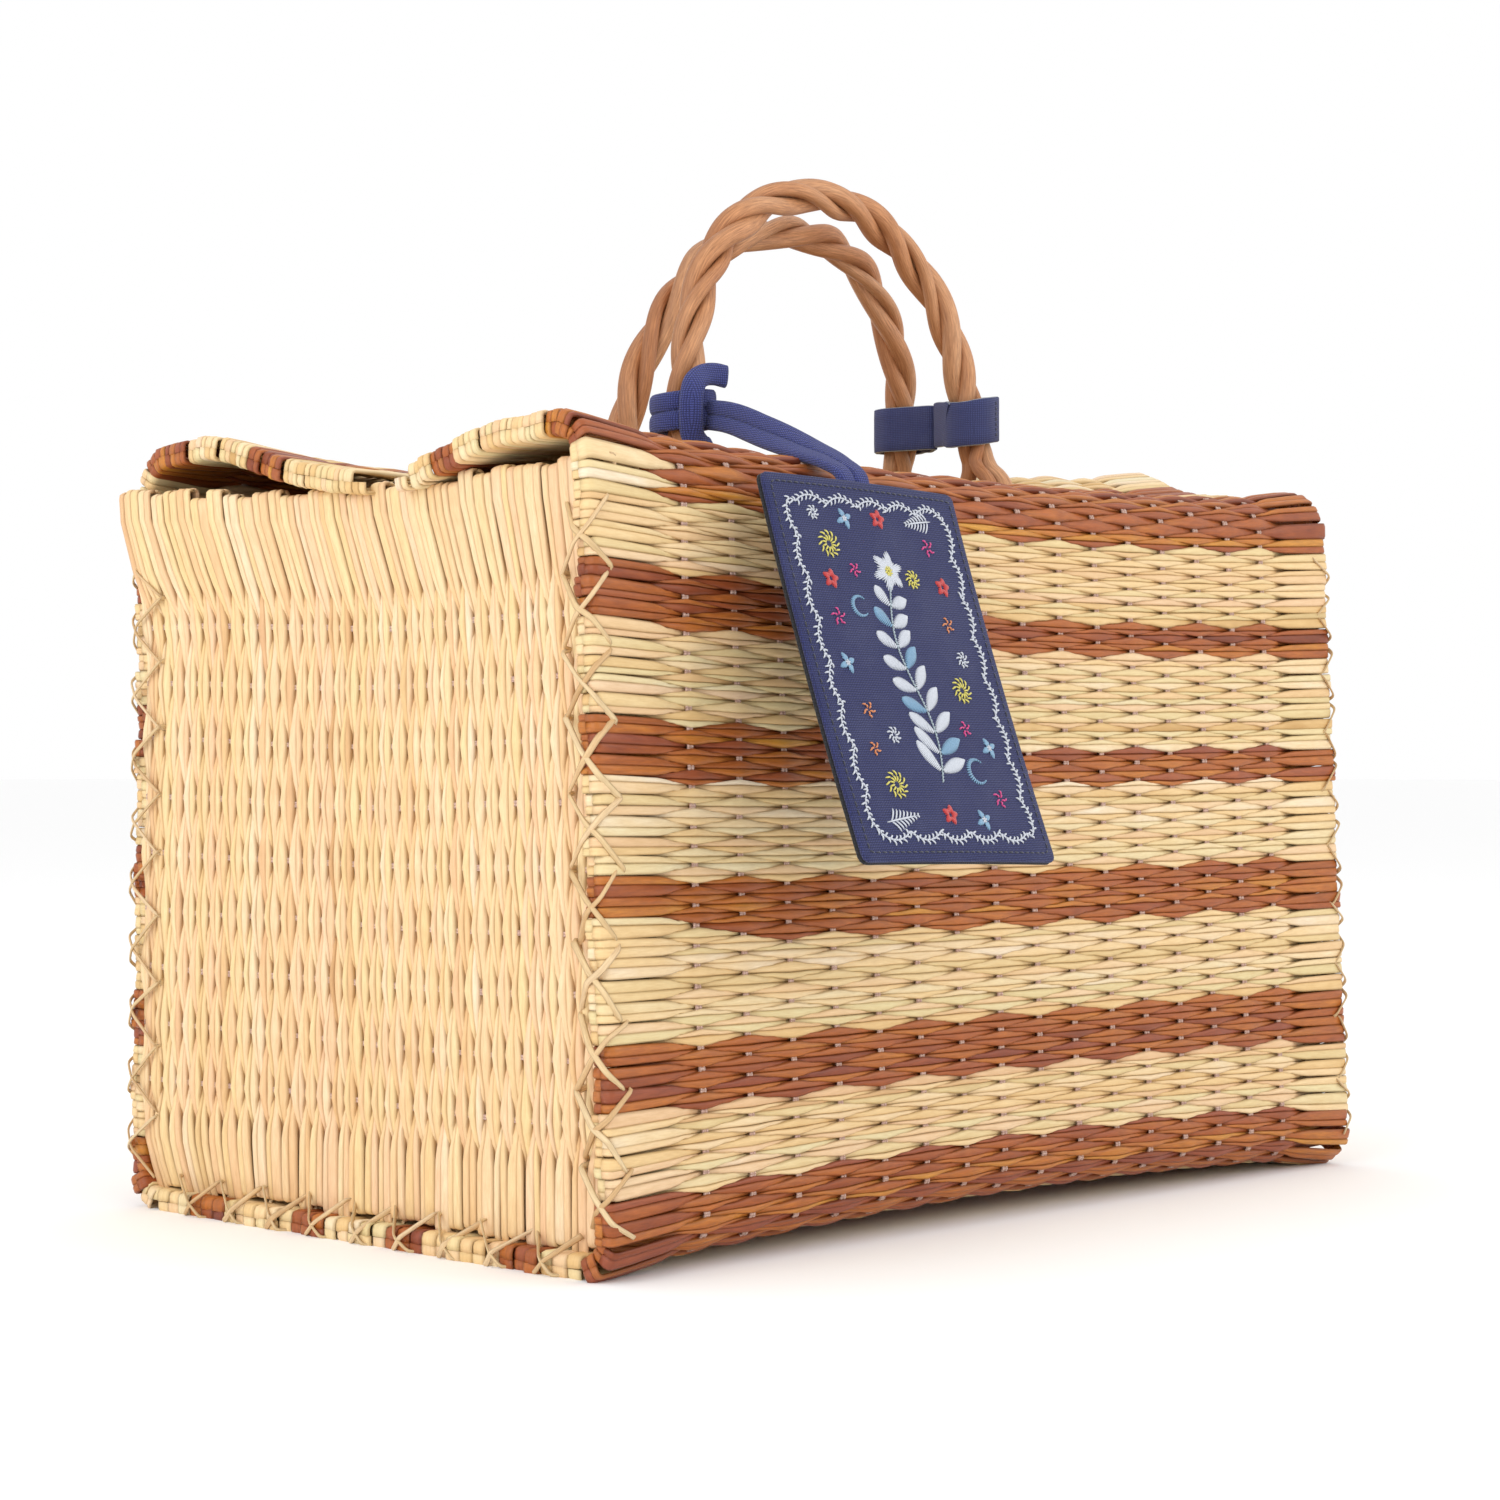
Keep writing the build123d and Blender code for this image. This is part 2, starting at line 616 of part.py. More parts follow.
with BuildPart() as tag_strap:
    for strand_side in (-1, 1):
        for plane in strap_planes():
            with BuildSketch(plane):
                with Locations((strand_side * (strand_width + strap_slit) / 2, 0)):
                    Rectangle(strand_width, strap_thickness)
        loft()
    with Locations(Location(strap_pivot, (0, 90, 0))):
        Cylinder(strap_head_radius, strap_thickness)
write_part(tag_strap, "tag_strap")

end_plane = Plane(origin=strap_end_start, x_dir=(1, 0, 0), z_dir=tag_down)
with BuildPart() as tag_strap_end:
    with BuildSketch(end_plane):
        Rectangle(strap_width, strap_thickness)
    extrude(amount=strap_end_length)
    with Locations(Location(strap_end_start, (0, 90, 0)), Location(tag_hinge, (0, 90, 0))):
        Cylinder(strap_half, strap_width)
write_part(tag_strap_end, "tag_strap_end")

tag_outward = Vector(0, -cos(radians(tag_swing_out)), sin(radians(tag_swing_out)))
tag_top_gap = strap_half + hinge_clearance
tag_middle = tag_hinge + tag_down * (tag_top_gap + tag_length / 2)
tag_seam_offset = (tag_back_thickness - tag_front_thickness) / 2
tag_plane = Plane(origin=tag_middle + tag_outward * tag_seam_offset, x_dir=(1, 0, 0), z_dir=tag_outward)
for layer_name, layer_thickness in (("tag_front", tag_front_thickness), ("tag_back", -tag_back_thickness)):
    with BuildPart() as layer:
        with BuildSketch(tag_plane):
            RectangleRounded(tag_width, tag_length, tag_corner_radius)
        extrude(amount=layer_thickness)
    write_part(layer, layer_name)


# ---------------------------------------------------------------- lacing
lacing_radius = lacing_diameter / 2
lacing_lift = lacing_radius + lacing_gap
panel_skin_x = panel_outside + lacing_lift
lacing_corner_shares = (0.0, 0.4, 0.65)  # of the way to the next crossing, at each stop round a corner
lacing_ledge_shares = (0.0, 0.55)        # the same at the bottom


def corner_lacing_route(side_x: int, side_y: int, lean: float, straight: float, strand: int) -> list[Vector]:
    """Zigzag of one lacing strip round a corner, from the panel to the wall and back."""
    top = straight - lacing_lift
    count = int((top - lacing_bottom) / lacing_pitch)
    lift = lacing_lift + strand * (lacing_diameter + lacing_gap)
    route = []
    for step in range(count + 1):
        height = lacing_bottom + step * lacing_pitch
        wall_y = side_y * abs(wall_line_y(side_y, lean, straight, height)) + side_y * half_mat
        inner_y = wall_y - side_y * 2 * half_mat
        on_panel = Vector(side_x * panel_skin_x, wall_y - side_y * lacing_panel_reach, height)
        on_wall = Vector(side_x * (half_length - lacing_wall_reach), wall_y + side_y * lacing_lift, height)
        edge_x = side_x * (half_length + lift)
        outer = Vector(edge_x, wall_y + side_y * lift, height)
        inner = Vector(edge_x, inner_y - side_y * lift, height)
        panel_first = (step + strand) % 2 == 0
        stops = [on_panel, inner, outer, on_wall] if panel_first else [on_wall, outer, inner, on_panel]
        if step == count:
            route.append(stops[0])
            break
        for stop, share in zip(stops, lacing_corner_shares):
            route.append(Vector(stop.X, stop.Y, height + share * lacing_pitch))
    return route


def bottom_lacing_route(side_x: int, strand: int) -> list[Vector]:
    """Zigzag of one lacing strip between an end panel and the edge of the bottom."""
    front = inner_wall_y(-1, front_wall_lean, front_wall_straight, 0) + lacing_panel_reach
    back = inner_wall_y(1, back_wall_lean, back_wall_straight, 0) - lacing_panel_reach
    count = int((back - front) / lacing_pitch)
    lift = lacing_lift + strand * (lacing_diameter + lacing_gap)
    route = []
    for step in range(count + 1):
        y = front + step * lacing_pitch
        on_panel = Vector(side_x * panel_skin_x, y, mat_thickness + lacing_panel_reach)
        ledge = Vector(side_x * (half_length + lift), y, mat_thickness + lift)
        low = Vector(side_x * (half_length + lift), y, lacing_diameter)
        panel_first = (step + strand) % 2 == 0
        stops = [on_panel, ledge, low] if panel_first else [low, ledge, on_panel]
        if step == count:
            route.append(stops[0])
            break
        for stop, share in zip(stops, lacing_ledge_shares):
            route.append(Vector(stop.X, stop.Y + share * lacing_pitch, stop.Z))
    return route


def make_lacing(routes: list) -> BuildPart:
    """A lacing run: its strips, each a round strip along its zigzag."""
    with BuildPart() as lacing:
        for route in routes:
            radii = [min(radius, lacing_bend_radius) for radius in corner_radii(route, bend_share)]
            strip = make_round_rod(route, lacing_radius, radii)
            add(strip.part)
    return lacing


for end_name, side_x in (("left", -1), ("right", 1)):
    front_routes = [
        corner_lacing_route(side_x, -1, front_wall_lean, front_wall_straight, n) for n in (0, 1)
    ]
    back_routes = [corner_lacing_route(side_x, 1, back_wall_lean, back_wall_straight, n) for n in (0, 1)]
    write_part(make_lacing(front_routes), f"{end_name}_front_lacing")
    write_part(make_lacing(back_routes), f"{end_name}_back_lacing")
    write_part(make_lacing([bottom_lacing_route(side_x, n) for n in (0, 1)]), f"{end_name}_bottom_lacing")

print("front lid hinge (y, z):", front_axis_y, front_axis_z)
print("back lid hinge (y, z):", back_axis_y, back_axis_z)
print("strap pivot:", strap_pivot)
print("tag hinge:", tag_hinge)
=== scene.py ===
"""Woven reed market basket: reed mats on cotton cords, twisted willow handles, canvas band and tag.

Lengths in the classes are millimetres in the basket's own frame (origin in the middle of the base,
+X along the basket, +Y to the back, +Z up). Meshes are written in metres.
"""

import logging
import math
from collections.abc import Callable
from dataclasses import dataclass, field, replace
from enum import Enum

import bpy
import numpy as np
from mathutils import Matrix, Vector

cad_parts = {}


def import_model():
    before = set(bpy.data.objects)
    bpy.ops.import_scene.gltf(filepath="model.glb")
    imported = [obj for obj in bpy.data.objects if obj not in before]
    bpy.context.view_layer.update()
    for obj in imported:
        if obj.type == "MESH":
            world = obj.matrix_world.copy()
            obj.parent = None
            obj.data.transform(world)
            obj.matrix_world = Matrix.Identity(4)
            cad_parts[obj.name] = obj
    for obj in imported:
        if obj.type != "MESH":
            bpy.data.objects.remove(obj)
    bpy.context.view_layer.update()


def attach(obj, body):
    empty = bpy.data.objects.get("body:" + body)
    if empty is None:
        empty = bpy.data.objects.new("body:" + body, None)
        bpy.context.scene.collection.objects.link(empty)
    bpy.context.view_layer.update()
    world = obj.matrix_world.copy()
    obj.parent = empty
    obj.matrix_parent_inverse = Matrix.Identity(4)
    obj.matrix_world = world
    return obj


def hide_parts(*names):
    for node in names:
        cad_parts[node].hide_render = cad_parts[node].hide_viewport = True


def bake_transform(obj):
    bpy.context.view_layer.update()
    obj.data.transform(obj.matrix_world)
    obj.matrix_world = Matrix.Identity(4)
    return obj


LOG = logging.getLogger("basket")
MM = 0.001

Array = np.ndarray


# ------------------------------------------------------------------ numpy helpers


def smooth(value: Array) -> Array:
    """Smooth step: 3 t squared minus 2 t cubed, with t held between 0 and 1."""
    t = np.clip(value, 0.0, 1.0)
    return t * t * (3.0 - 2.0 * t)


def unit(vectors: Array) -> Array:
    """Each vector divided by its length."""
    return vectors / np.maximum(np.linalg.norm(vectors, axis=-1, keepdims=True), 1e-12)


def polar(angle: Array) -> Array:
    """Points on the unit circle at angles: (cos, sin)."""
    return np.stack([np.cos(angle), np.sin(angle)], axis=-1)


def turned(points: Array, angle: float) -> Array:
    """(n, 2) points turned about the origin by an angle."""
    cos, sin = math.cos(angle), math.sin(angle)
    return points @ np.array([(cos, sin), (-sin, cos)])


def signed_power(values: Array, power: float) -> Array:
    """The size of each value raised to a power, with the value's sign."""
    return np.sign(values) * np.abs(values) ** power


def soft_noise(rng: np.random.Generator, rows: int, length: Array, step: float) -> Array:
    """Random value per row that wanders slowly along the row.

    Args:
        rng: Seeded source of the random numbers.
        rows: Number of rows.
        length: Places along the rows, in mm.
        step: Distance between independent values, in mm.

    Returns:
        Array (rows, places) between about -1 and 1: random knots, joined by smooth steps.
    """
    knots = rng.uniform(-1.0, 1.0, (rows, int(np.ptp(length) / step) + 3))
    at = (length - length.min()) / step
    low = np.floor(at).astype(int)
    share = smooth(at - low)
    return knots[:, low] * (1.0 - share) + knots[:, low + 1] * share


def cubic(x: Array, knots: Array, values: Array, slopes: Array) -> Array:
    """Curve of one cubic per span.

    Args:
        x: Places to find the curve at.
        knots: (n,) places where the spans meet.
        values: (n, k) values there.
        slopes: (n, k) slopes there.
    """
    i = np.clip(np.searchsorted(knots, x) - 1, 0, len(knots) - 2)
    width = (knots[i + 1] - knots[i])[..., None]
    t = np.clip((x - knots[i])[..., None] / width, 0.0, 1.0)
    return (
        (2 * t**3 - 3 * t**2 + 1) * values[i]
        + (t**3 - 2 * t**2 + t) * width * slopes[i]
        + (-2 * t**3 + 3 * t**2) * values[i + 1]
        + (t**3 - t**2) * width * slopes[i + 1]
    )


def glide(x: Array, knots: Array, values: Array) -> Array:
    """Catmull-Rom curve through (n, k) values at knots: each knot takes the mean slope beside it."""
    return cubic(x, knots, values, np.gradient(values, knots, axis=0))


def run_length(path: Array) -> Array:
    """Length travelled along a path up to each of its points."""
    return np.concatenate([[0.0], np.cumsum(np.linalg.norm(np.diff(path, axis=0), axis=1))])


def points_at(path: Array, places: Array) -> Array:
    """Points of a (n, k) path at lengths along it."""
    run = run_length(path)
    return np.stack([np.interp(places, run, path[:, k]) for k in range(path.shape[1])], axis=1)


def resample(path: Array, count: int) -> Array:
    """Count points spread evenly along a path."""
    return points_at(path, np.linspace(0.0, run_length(path)[-1], count))


def curve_through(points: Array, count: int) -> Array:
    """Smooth (count, 3) curve through (n, 3) points, sampled evenly."""
    chord = run_length(points)
    fine = np.linspace(0.0, chord[-1], 30 * len(points))
    return resample(glide(fine, chord, points), count)


def looped(path: Array) -> Array:
    """A path with its first point added at its end."""
    return np.concatenate([path, path[:1]])


# ------------------------------------------------------------------ meshes


FLAT_STRIP = np.array([(-1, 0), (-0.62, 0.8), (0.62, 0.8), (1, 0), (0.62, -0.8), (-0.62, -0.8)])
PRESSED_REED = np.array(
    [(-1, -0.35), (-1, 0.35), (-0.6, 1), (0.6, 1), (1, 0.35), (1, -0.35), (0.6, -1), (-0.6, -1)]
)
PAIRED_THREADS = np.array(
    [(-1, 0), (-0.8, 0.85), (-0.3, 0.85), (0, 0.35), (0.3, 0.85), (0.8, 0.85), (1, 0), (0, -0.7)]
)
CLOTH_FACE = (
    (-1.0, 0.45), (-0.95, 0.92), (-0.6, 1.0), (0.0, 1.0), (0.6, 1.0), (0.95, 0.92), (1.0, 0.45)
)
SOFT_CLOTH = np.array([*CLOTH_FACE, *((-x, -y) for x, y in CLOTH_FACE)])


def ring(count: int) -> Array:
    """Round section: count points on the unit circle."""
    return polar(np.linspace(0.0, 2.0 * np.pi, count, endpoint=False))


FOLDED_TAPE = signed_power(ring(14), 2.0 / 2.6)  # a superellipse of power 2.6


@dataclass
class Strands:
    """Many strips or rods of one kind: a closed section carried along each path.

    Every field but the paths, the section and closed may be anything that broadcasts to its shape.

    Attributes:
        paths: (strand, station, 3) middle lines, in mm.
        across: (strand, station, 3) unit vectors over the strand's width.
        outward: (strand, station, 3) unit vectors out of its face.
        half_width: (strand, station) half the width.
        half_depth: (strand, station) half the thickness.
        section: (k, 2) section, in half widths and half depths.
        tone: (strand, station) shade from 0 to 1.
        closed: True if each path is a ring.
    """

    paths: Array
    across: Array
    outward: Array
    half_width: Array
    half_depth: Array
    section: Array
    tone: Array = 0.5
    closed: bool = False

    def __post_init__(self) -> None:
        shape = self.paths.shape
        self.across, self.outward = (np.broadcast_to(v, shape) for v in (self.across, self.outward))
        sizes = (self.half_width, self.half_depth, self.tone)
        self.half_width, self.half_depth, self.tone = (np.broadcast_to(v, shape[:2]) for v in sizes)

    def vertices(self) -> Array:
        """Points: path + section x half width x across + section y half depth x outward."""
        wide = self.half_width[..., None, None] * self.section[:, :1]
        deep = self.half_depth[..., None, None] * self.section[:, 1:]
        return self.paths[:, :, None] + wide * self.across[:, :, None] + deep * self.outward[:, :, None]

    def part(self, first: int, stop: int) -> "Strands":
        """The same strands between two stations."""
        names = ("paths", "across", "outward", "half_width", "half_depth", "tone")
        return replace(self, **{name: getattr(self, name)[:, first:stop] for name in names})

    def build(self, name: str) -> bpy.types.Object:
        """Makes the mesh object of the strands."""
        return write_mesh(name, self.vertices(), self.tone, np.abs(self.section[:, 0]) ** 3, self.closed)


def write_mesh(name: str, points: Array, tone: Array, rim: Array, closed: bool) -> bpy.types.Object:
    """Makes a mesh of tubes from the rings of points along them, closed by end caps.

    The UV map "lay" holds the length along the tube in cm, and the share of the way round the ring
    plus a whole number for the tube. The attributes are "tone" and "rim".

    Args:
        name: Name of the piece.
        points: (tube, station, ring point, 3) points, in mm.
        tone: (tube, station) shade from 0 to 1.
        rim: (ring point,) nearness to the section's edges, from 0 to 1.
        closed: True if each tube is a ring itself.

    Returns:
        The linked object.
    """
    tubes, stations, k, _ = points.shape
    index = np.arange(tubes * stations * k).reshape(tubes, stations, k)
    here = index if closed else index[:, :-1]
    after = np.roll(index, -1, axis=1) if closed else index[:, 1:]
    quads = np.stack([here, np.roll(here, -1, axis=2), np.roll(after, -1, axis=2), after], axis=-1)
    quads = quads.reshape(-1, 4)
    caps = np.zeros((0, k), int) if closed else np.concatenate([index[:, 0, ::-1], index[:, -1]])
    flat = points.reshape(-1, 3)
    a, b, c, d = (flat[quads[:, n]] for n in range(4))
    if np.einsum("ij,ij->i", a, np.cross(b, c) + np.cross(c, d)).sum() < 0:
        quads = quads[:, ::-1]
        caps = caps[:, ::-1]
    loops = np.concatenate([quads.ravel(), caps.ravel()]).astype(np.int32)
    starts = np.concatenate([np.arange(len(quads)) * 4, len(quads) * 4 + np.arange(len(caps)) * k])
    mesh = bpy.data.meshes.new(name)
    mesh.vertices.add(len(flat))
    mesh.vertices.foreach_set("co", (flat * MM).astype(np.float32).ravel())
    mesh.loops.add(len(loops))
    mesh.loops.foreach_set("vertex_index", loops)
    mesh.polygons.add(len(starts))
    mesh.polygons.foreach_set("loop_start", starts.astype(np.int32))
    mesh.update(calc_edges=True)
    mesh.polygons.foreach_set("use_smooth", np.ones(len(starts), bool))
    middle = points.mean(axis=2)
    steps = np.linalg.norm(np.diff(middle, axis=1), axis=2)
    along = np.concatenate([np.zeros((tubes, 1)), np.cumsum(steps, axis=1)], axis=1) / 10.0
    u = np.broadcast_to(along[:, :, None], (tubes, stations, k))
    v = np.arange(tubes)[:, None, None] + (np.arange(k) / k)[None, None, :] + np.zeros_like(u)
    uv = np.stack([u, v], axis=-1).reshape(-1, 2)
    mesh.uv_layers.new(name="lay").data.foreach_set("uv", uv[loops].astype(np.float32).ravel())
    for label, values in (("tone", tone[:, :, None]), ("rim", rim[None, None, :])):
        spread_values = np.broadcast_to(values, (tubes, stations, k)).astype(np.float32).ravel()
        mesh.attributes.new(label, "FLOAT", "POINT").data.foreach_set("value", spread_values)
    obj = bpy.data.objects.new(name, mesh)
    bpy.context.scene.collection.objects.link(obj)
    return obj


def frames_along(paths: Array, facing: Array) -> tuple[Array, Array]:
    """Unit vectors across and out of strands that face a way.

    Args:
        paths: (strand, station, 3) middle lines.
        facing: Vectors near the outward side, of a shape that broadcasts to the paths.

    Returns:
        across and outward: the outward vector is the facing one less its part along the path.
    """
    tangent = unit(np.gradient(paths, axis=1))
    facing = np.broadcast_to(facing, paths.shape)
    outward = unit(facing - tangent * np.sum(facing * tangent, axis=-1, keepdims=True))
    return np.cross(outward, tangent), outward


# ------------------------------------------------------------------ shape of the mats


class Side(Enum):
    """The two long sides; the value is the sign of Y."""

    FRONT = -1
    BACK = 1

    @property
    def word(self) -> str:
        """The side's name as the pieces' names have it."""
        return self.name.lower()


HALF_LENGTH = 190.0
HALF_DEPTH = 118.5
HALF_MAT = 3.0
FOLD_RADIUS = 14.0
CORNER_RADIUS = 10.0
FOLD_ANGLE = math.radians(45.0)
SEAM_Y = -12.0
SEAM_HALF_GAP = 8.0
ROW_PITCH = 2.96


@dataclass(frozen=True)
class WallForm:
    """One long wall and the lid folded over from it.

    Attributes:
        side: Which long side.
        straight: Height at which the wall starts to bend over.
        lean: Inward lean over that height.
        crest_run: Run from the fold axis to the lid's crest.
        middle_inset: Run from the seam side edge line to the lid's middle point.
        sections: Rows of (share of half length, edge retreat, crest, middle and edge rise).
    """

    side: Side
    straight: float
    lean: float
    crest_run: float
    middle_inset: float
    sections: tuple

    def middle_y(self, height: Array) -> Array:
        """Distance of the wall's middle surface from the basket's middle, at a height."""
        return HALF_DEPTH - HALF_MAT - self.lean * height / self.straight

    def inside_y(self, height: Array) -> Array:
        """Y of the wall's inner face at a height."""
        return self.side.value * (self.middle_y(height) - HALF_MAT)

    def wall_profile(self) -> Array:
        """(n, 2) points (y, z) from the bottom's edge round the corner, up the wall to the fold axis."""
        corner_z = HALF_MAT + CORNER_RADIUS
        corner_middle = np.array([self.middle_y(corner_z) - CORNER_RADIUS, corner_z])
        corner = corner_middle + CORNER_RADIUS * polar(np.linspace(-np.pi / 2, 0.0, 12))
        heading = math.atan2(self.straight, self.lean)
        bend = polar(np.linspace(heading, FOLD_ANGLE, 12))[:, ::-1]
        fold = np.array([self.middle_y(self.straight), self.straight]) + FOLD_RADIUS * (bend - bend[0])
        return np.concatenate([corner, fold]) * (self.side.value, 1.0)

    def lid_profile(self, x: float) -> Array:
        """(n, 2) points (y, z) of the lid at a place along the basket, from the fold axis to its edge.

        A cubic through axis, crest, middle and edge, that starts at 45 degrees and ends near level.
        """
        s = self.side.value
        y, z = self.wall_profile()[-1]
        table = np.array(self.sections)
        retreat, crest, middle, edge = glide(np.array([x / HALF_LENGTH]), table[:, 0], table[:, 1:])[0]
        line = SEAM_Y + s * SEAM_HALF_GAP
        points = np.array(
            [
                (y, z),
                (y - s * self.crest_run, z + crest),
                (line + s * self.middle_inset, z + middle),
                (line + s * abs(retreat), z + edge),
            ]
        )
        knots = run_length(points)
        slopes = np.gradient(points, knots, axis=0)
        slopes[0] = (-s * math.cos(FOLD_ANGLE), math.sin(FOLD_ANGLE))
        slopes[-1] = slopes[-1] * 0.4 + np.array([-s * 0.6, 0.0])
        return cubic(np.linspace(0.0, knots[-1], 80), knots, points, slopes)


FRONT_FORM = WallForm(
    Side.FRONT,
    234.0,
    11.1,
    26.0,
    22.0,
    (
        (-1.0, -5.0, 6.0, -0.6, -4.9),
        (-0.75, -3.0, 2.0, -0.7, -3.2),
        (-0.5, -1.0, 0.0, -0.8, -1.5),
        (0.0, 0.0, -0.5, 0.5, 2.5),
        (0.5, -1.0, -0.2, 5.5, 12.5),
        (1.0, -3.0, 5.5, 10.5, 18.5),
    ),
)
BACK_FORM = WallForm(
    Side.BACK,
    238.0,
    3.4,
    18.0,
    30.0,
    (
        (-1.0, 4.0, 6.0, -5.5, -9.3),
        (-0.5, 1.0, 1.0, -3.0, -5.0),
        (0.0, 0.0, 0.0, -1.0, -1.0),
        (0.5, 0.0, 0.0, 0.0, 0.0),
        (1.0, 10.0, 4.0, 2.0, 0.0),
    ),
)


def rim_bow(x: Array) -> Array:
    """Rise of the walls' rim along the basket: -2.5 + 6 (x / 190)^2."""
    return -2.5 + 6.0 * (x / HALF_LENGTH) ** 2


def base_arch(x: Array, y: Array, z: Array) -> Array:
    """Rise of the base's long front edge: 6.5 mm at mid length, gone at 80 mm height and behind."""
    along = 1.0 - (x / HALF_LENGTH) ** 2
    return 6.5 * along * (1.0 - smooth(z / 80.0)) * (1.0 - smooth((y + HALF_DEPTH) / 90.0))


@dataclass
class MatField:
    """Middle surface of a mat, as points over places along its reeds and the borders of its rows.

    Attributes:
        first: Place of the first station.
        step: Distance between stations.
        points: (station, row border, 3) points.
        facing: Direction that the mat's face looks in, on the whole.
        normals: Unit vectors out of the face at the points.
        uprights: Steps from one row border to the next at the points.
    """

    first: float
    step: float
    points: Array
    facing: tuple
    normals: Array = field(init=False)
    uprights: Array = field(init=False)

    def __post_init__(self) -> None:
        self.uprights = np.gradient(self.points, axis=1)
        normals = unit(np.cross(np.gradient(self.points, axis=0), self.uprights))
        self.normals = normals * np.sign(np.sum(normals * self.facing))

    @property
    def rows(self) -> int:
        """Number of rows."""
        return self.points.shape[1] - 1

    def borders(self, axis: int) -> Array:
        """One coordinate of the row borders at mid length."""
        return self.points[self.points.shape[0] // 2, :, axis]

    def at(self, place: Array, row: Array) -> tuple[Array, Array, Array]:
        """Point, normal and one row's step at places along the reeds and places over the rows.

        Args:
            place: Places along the reeds, in mm.
            row: Places over the rows; 2.5 is the middle of the third row.

        Returns:
            Three arrays of vectors, blended from the four grid points round each place.
        """
        u = (place - self.first) / self.step
        i = np.clip(np.floor(u).astype(int), 0, self.points.shape[0] - 2)
        j = np.clip(np.floor(row).astype(int), 0, self.rows - 1)
        fu, fv = (u - i)[..., None], (row - j)[..., None]

        def mix(grid: Array) -> Array:
            near = grid[i, j] * (1 - fu) + grid[i + 1, j] * fu
            far = grid[i, j + 1] * (1 - fu) + grid[i + 1, j + 1] * fu
            return near * (1 - fv) + far * fv

        return mix(self.points), unit(mix(self.normals)), mix(self.uprights)


def row_borders(
    rng: np.random.Generator,
    length: float,
    pitch: float = ROW_PITCH,
    vary: float = 0.12,
    foot: float = 0.0,
) -> Array:
    """Shares of a length at which rows of about one pitch, more or less by a share, meet.

    The first rows are taller by the share foot, the last ones as much lower.
    """
    count = round(length / pitch)
    heights = (1.0 + rng.uniform(-vary, vary, count)) * np.linspace(1.0 + foot, 1.0 - foot, count)
    return np.concatenate([[0.0], np.cumsum(heights)]) / heights.sum()


def nearest(values: Array, value: float) -> int:
    """Index of the value nearest to a given one."""
    return int(np.argmin(np.abs(values - value)))


def stripe(start: int, stop: int) -> tuple[int, int]:
    """First row and rows of a stripe that takes whole folded pairs of rows."""
    return start - start % 2, stop - stop % 2 - (start - start % 2)


@dataclass
class LongMat:
    """A long wall with its lid, as one mat; rows count from the bottom's edge to the lid's edge."""

    form: WallForm
    seed: int
    step: float = 5.0
    surface: MatField = field(init=False)
    fold_row: int = field(init=False)

    def __post_init__(self) -> None:
        rng = np.random.default_rng(self.seed)
        wall = self.form.wall_profile()
        wall_shares = row_borders(rng, run_length(wall)[-1], foot=0.08)
        lid_shares = row_borders(rng, run_length(self.form.lid_profile(0.0))[-1])
        self.fold_row = len(wall_shares) - 1
        wall_points = points_at(wall, wall_shares * run_length(wall)[-1])
        columns = []
        for x in np.arange(-HALF_LENGTH, HALF_LENGTH + 0.1, self.step):
            lid = self.form.lid_profile(x)
            lid_points = points_at(lid, lid_shares * run_length(lid)[-1])[1:]
            flat = np.concatenate([wall_points, lid_points])
            columns.append(np.column_stack([np.full(len(flat), x), flat]))
        points = np.array(columns)
        x, y, z = points[..., 0], points[..., 1], points[..., 2]
        reach = np.clip((z / FRONT_FORM.straight) ** 2, 0.0, 1.1)
        fade = 1.0 - smooth((np.arange(points.shape[1]) - self.fold_row) / 8.0)
        bow = 1.0 if self.form.side is Side.FRONT else 0.5
        points[..., 2] = z + rim_bow(x) * reach * bow * fade + base_arch(x, y, z)
        self.surface = MatField(-HALF_LENGTH, self.step, points, (0.0, self.form.side.value, 0.0))

    def row_at(self, height: float) -> int:
        """Wall row whose lower border is nearest to a height at mid length."""
        return nearest(self.surface.borders(2)[: self.fold_row + 1], height)

    def lid_row_at(self, y: float) -> int:
        """Lid row whose border is nearest to a Y at mid length."""
        return self.fold_row + nearest(self.surface.borders(1)[self.fold_row :], y)


# ------------------------------------------------------------------ weave


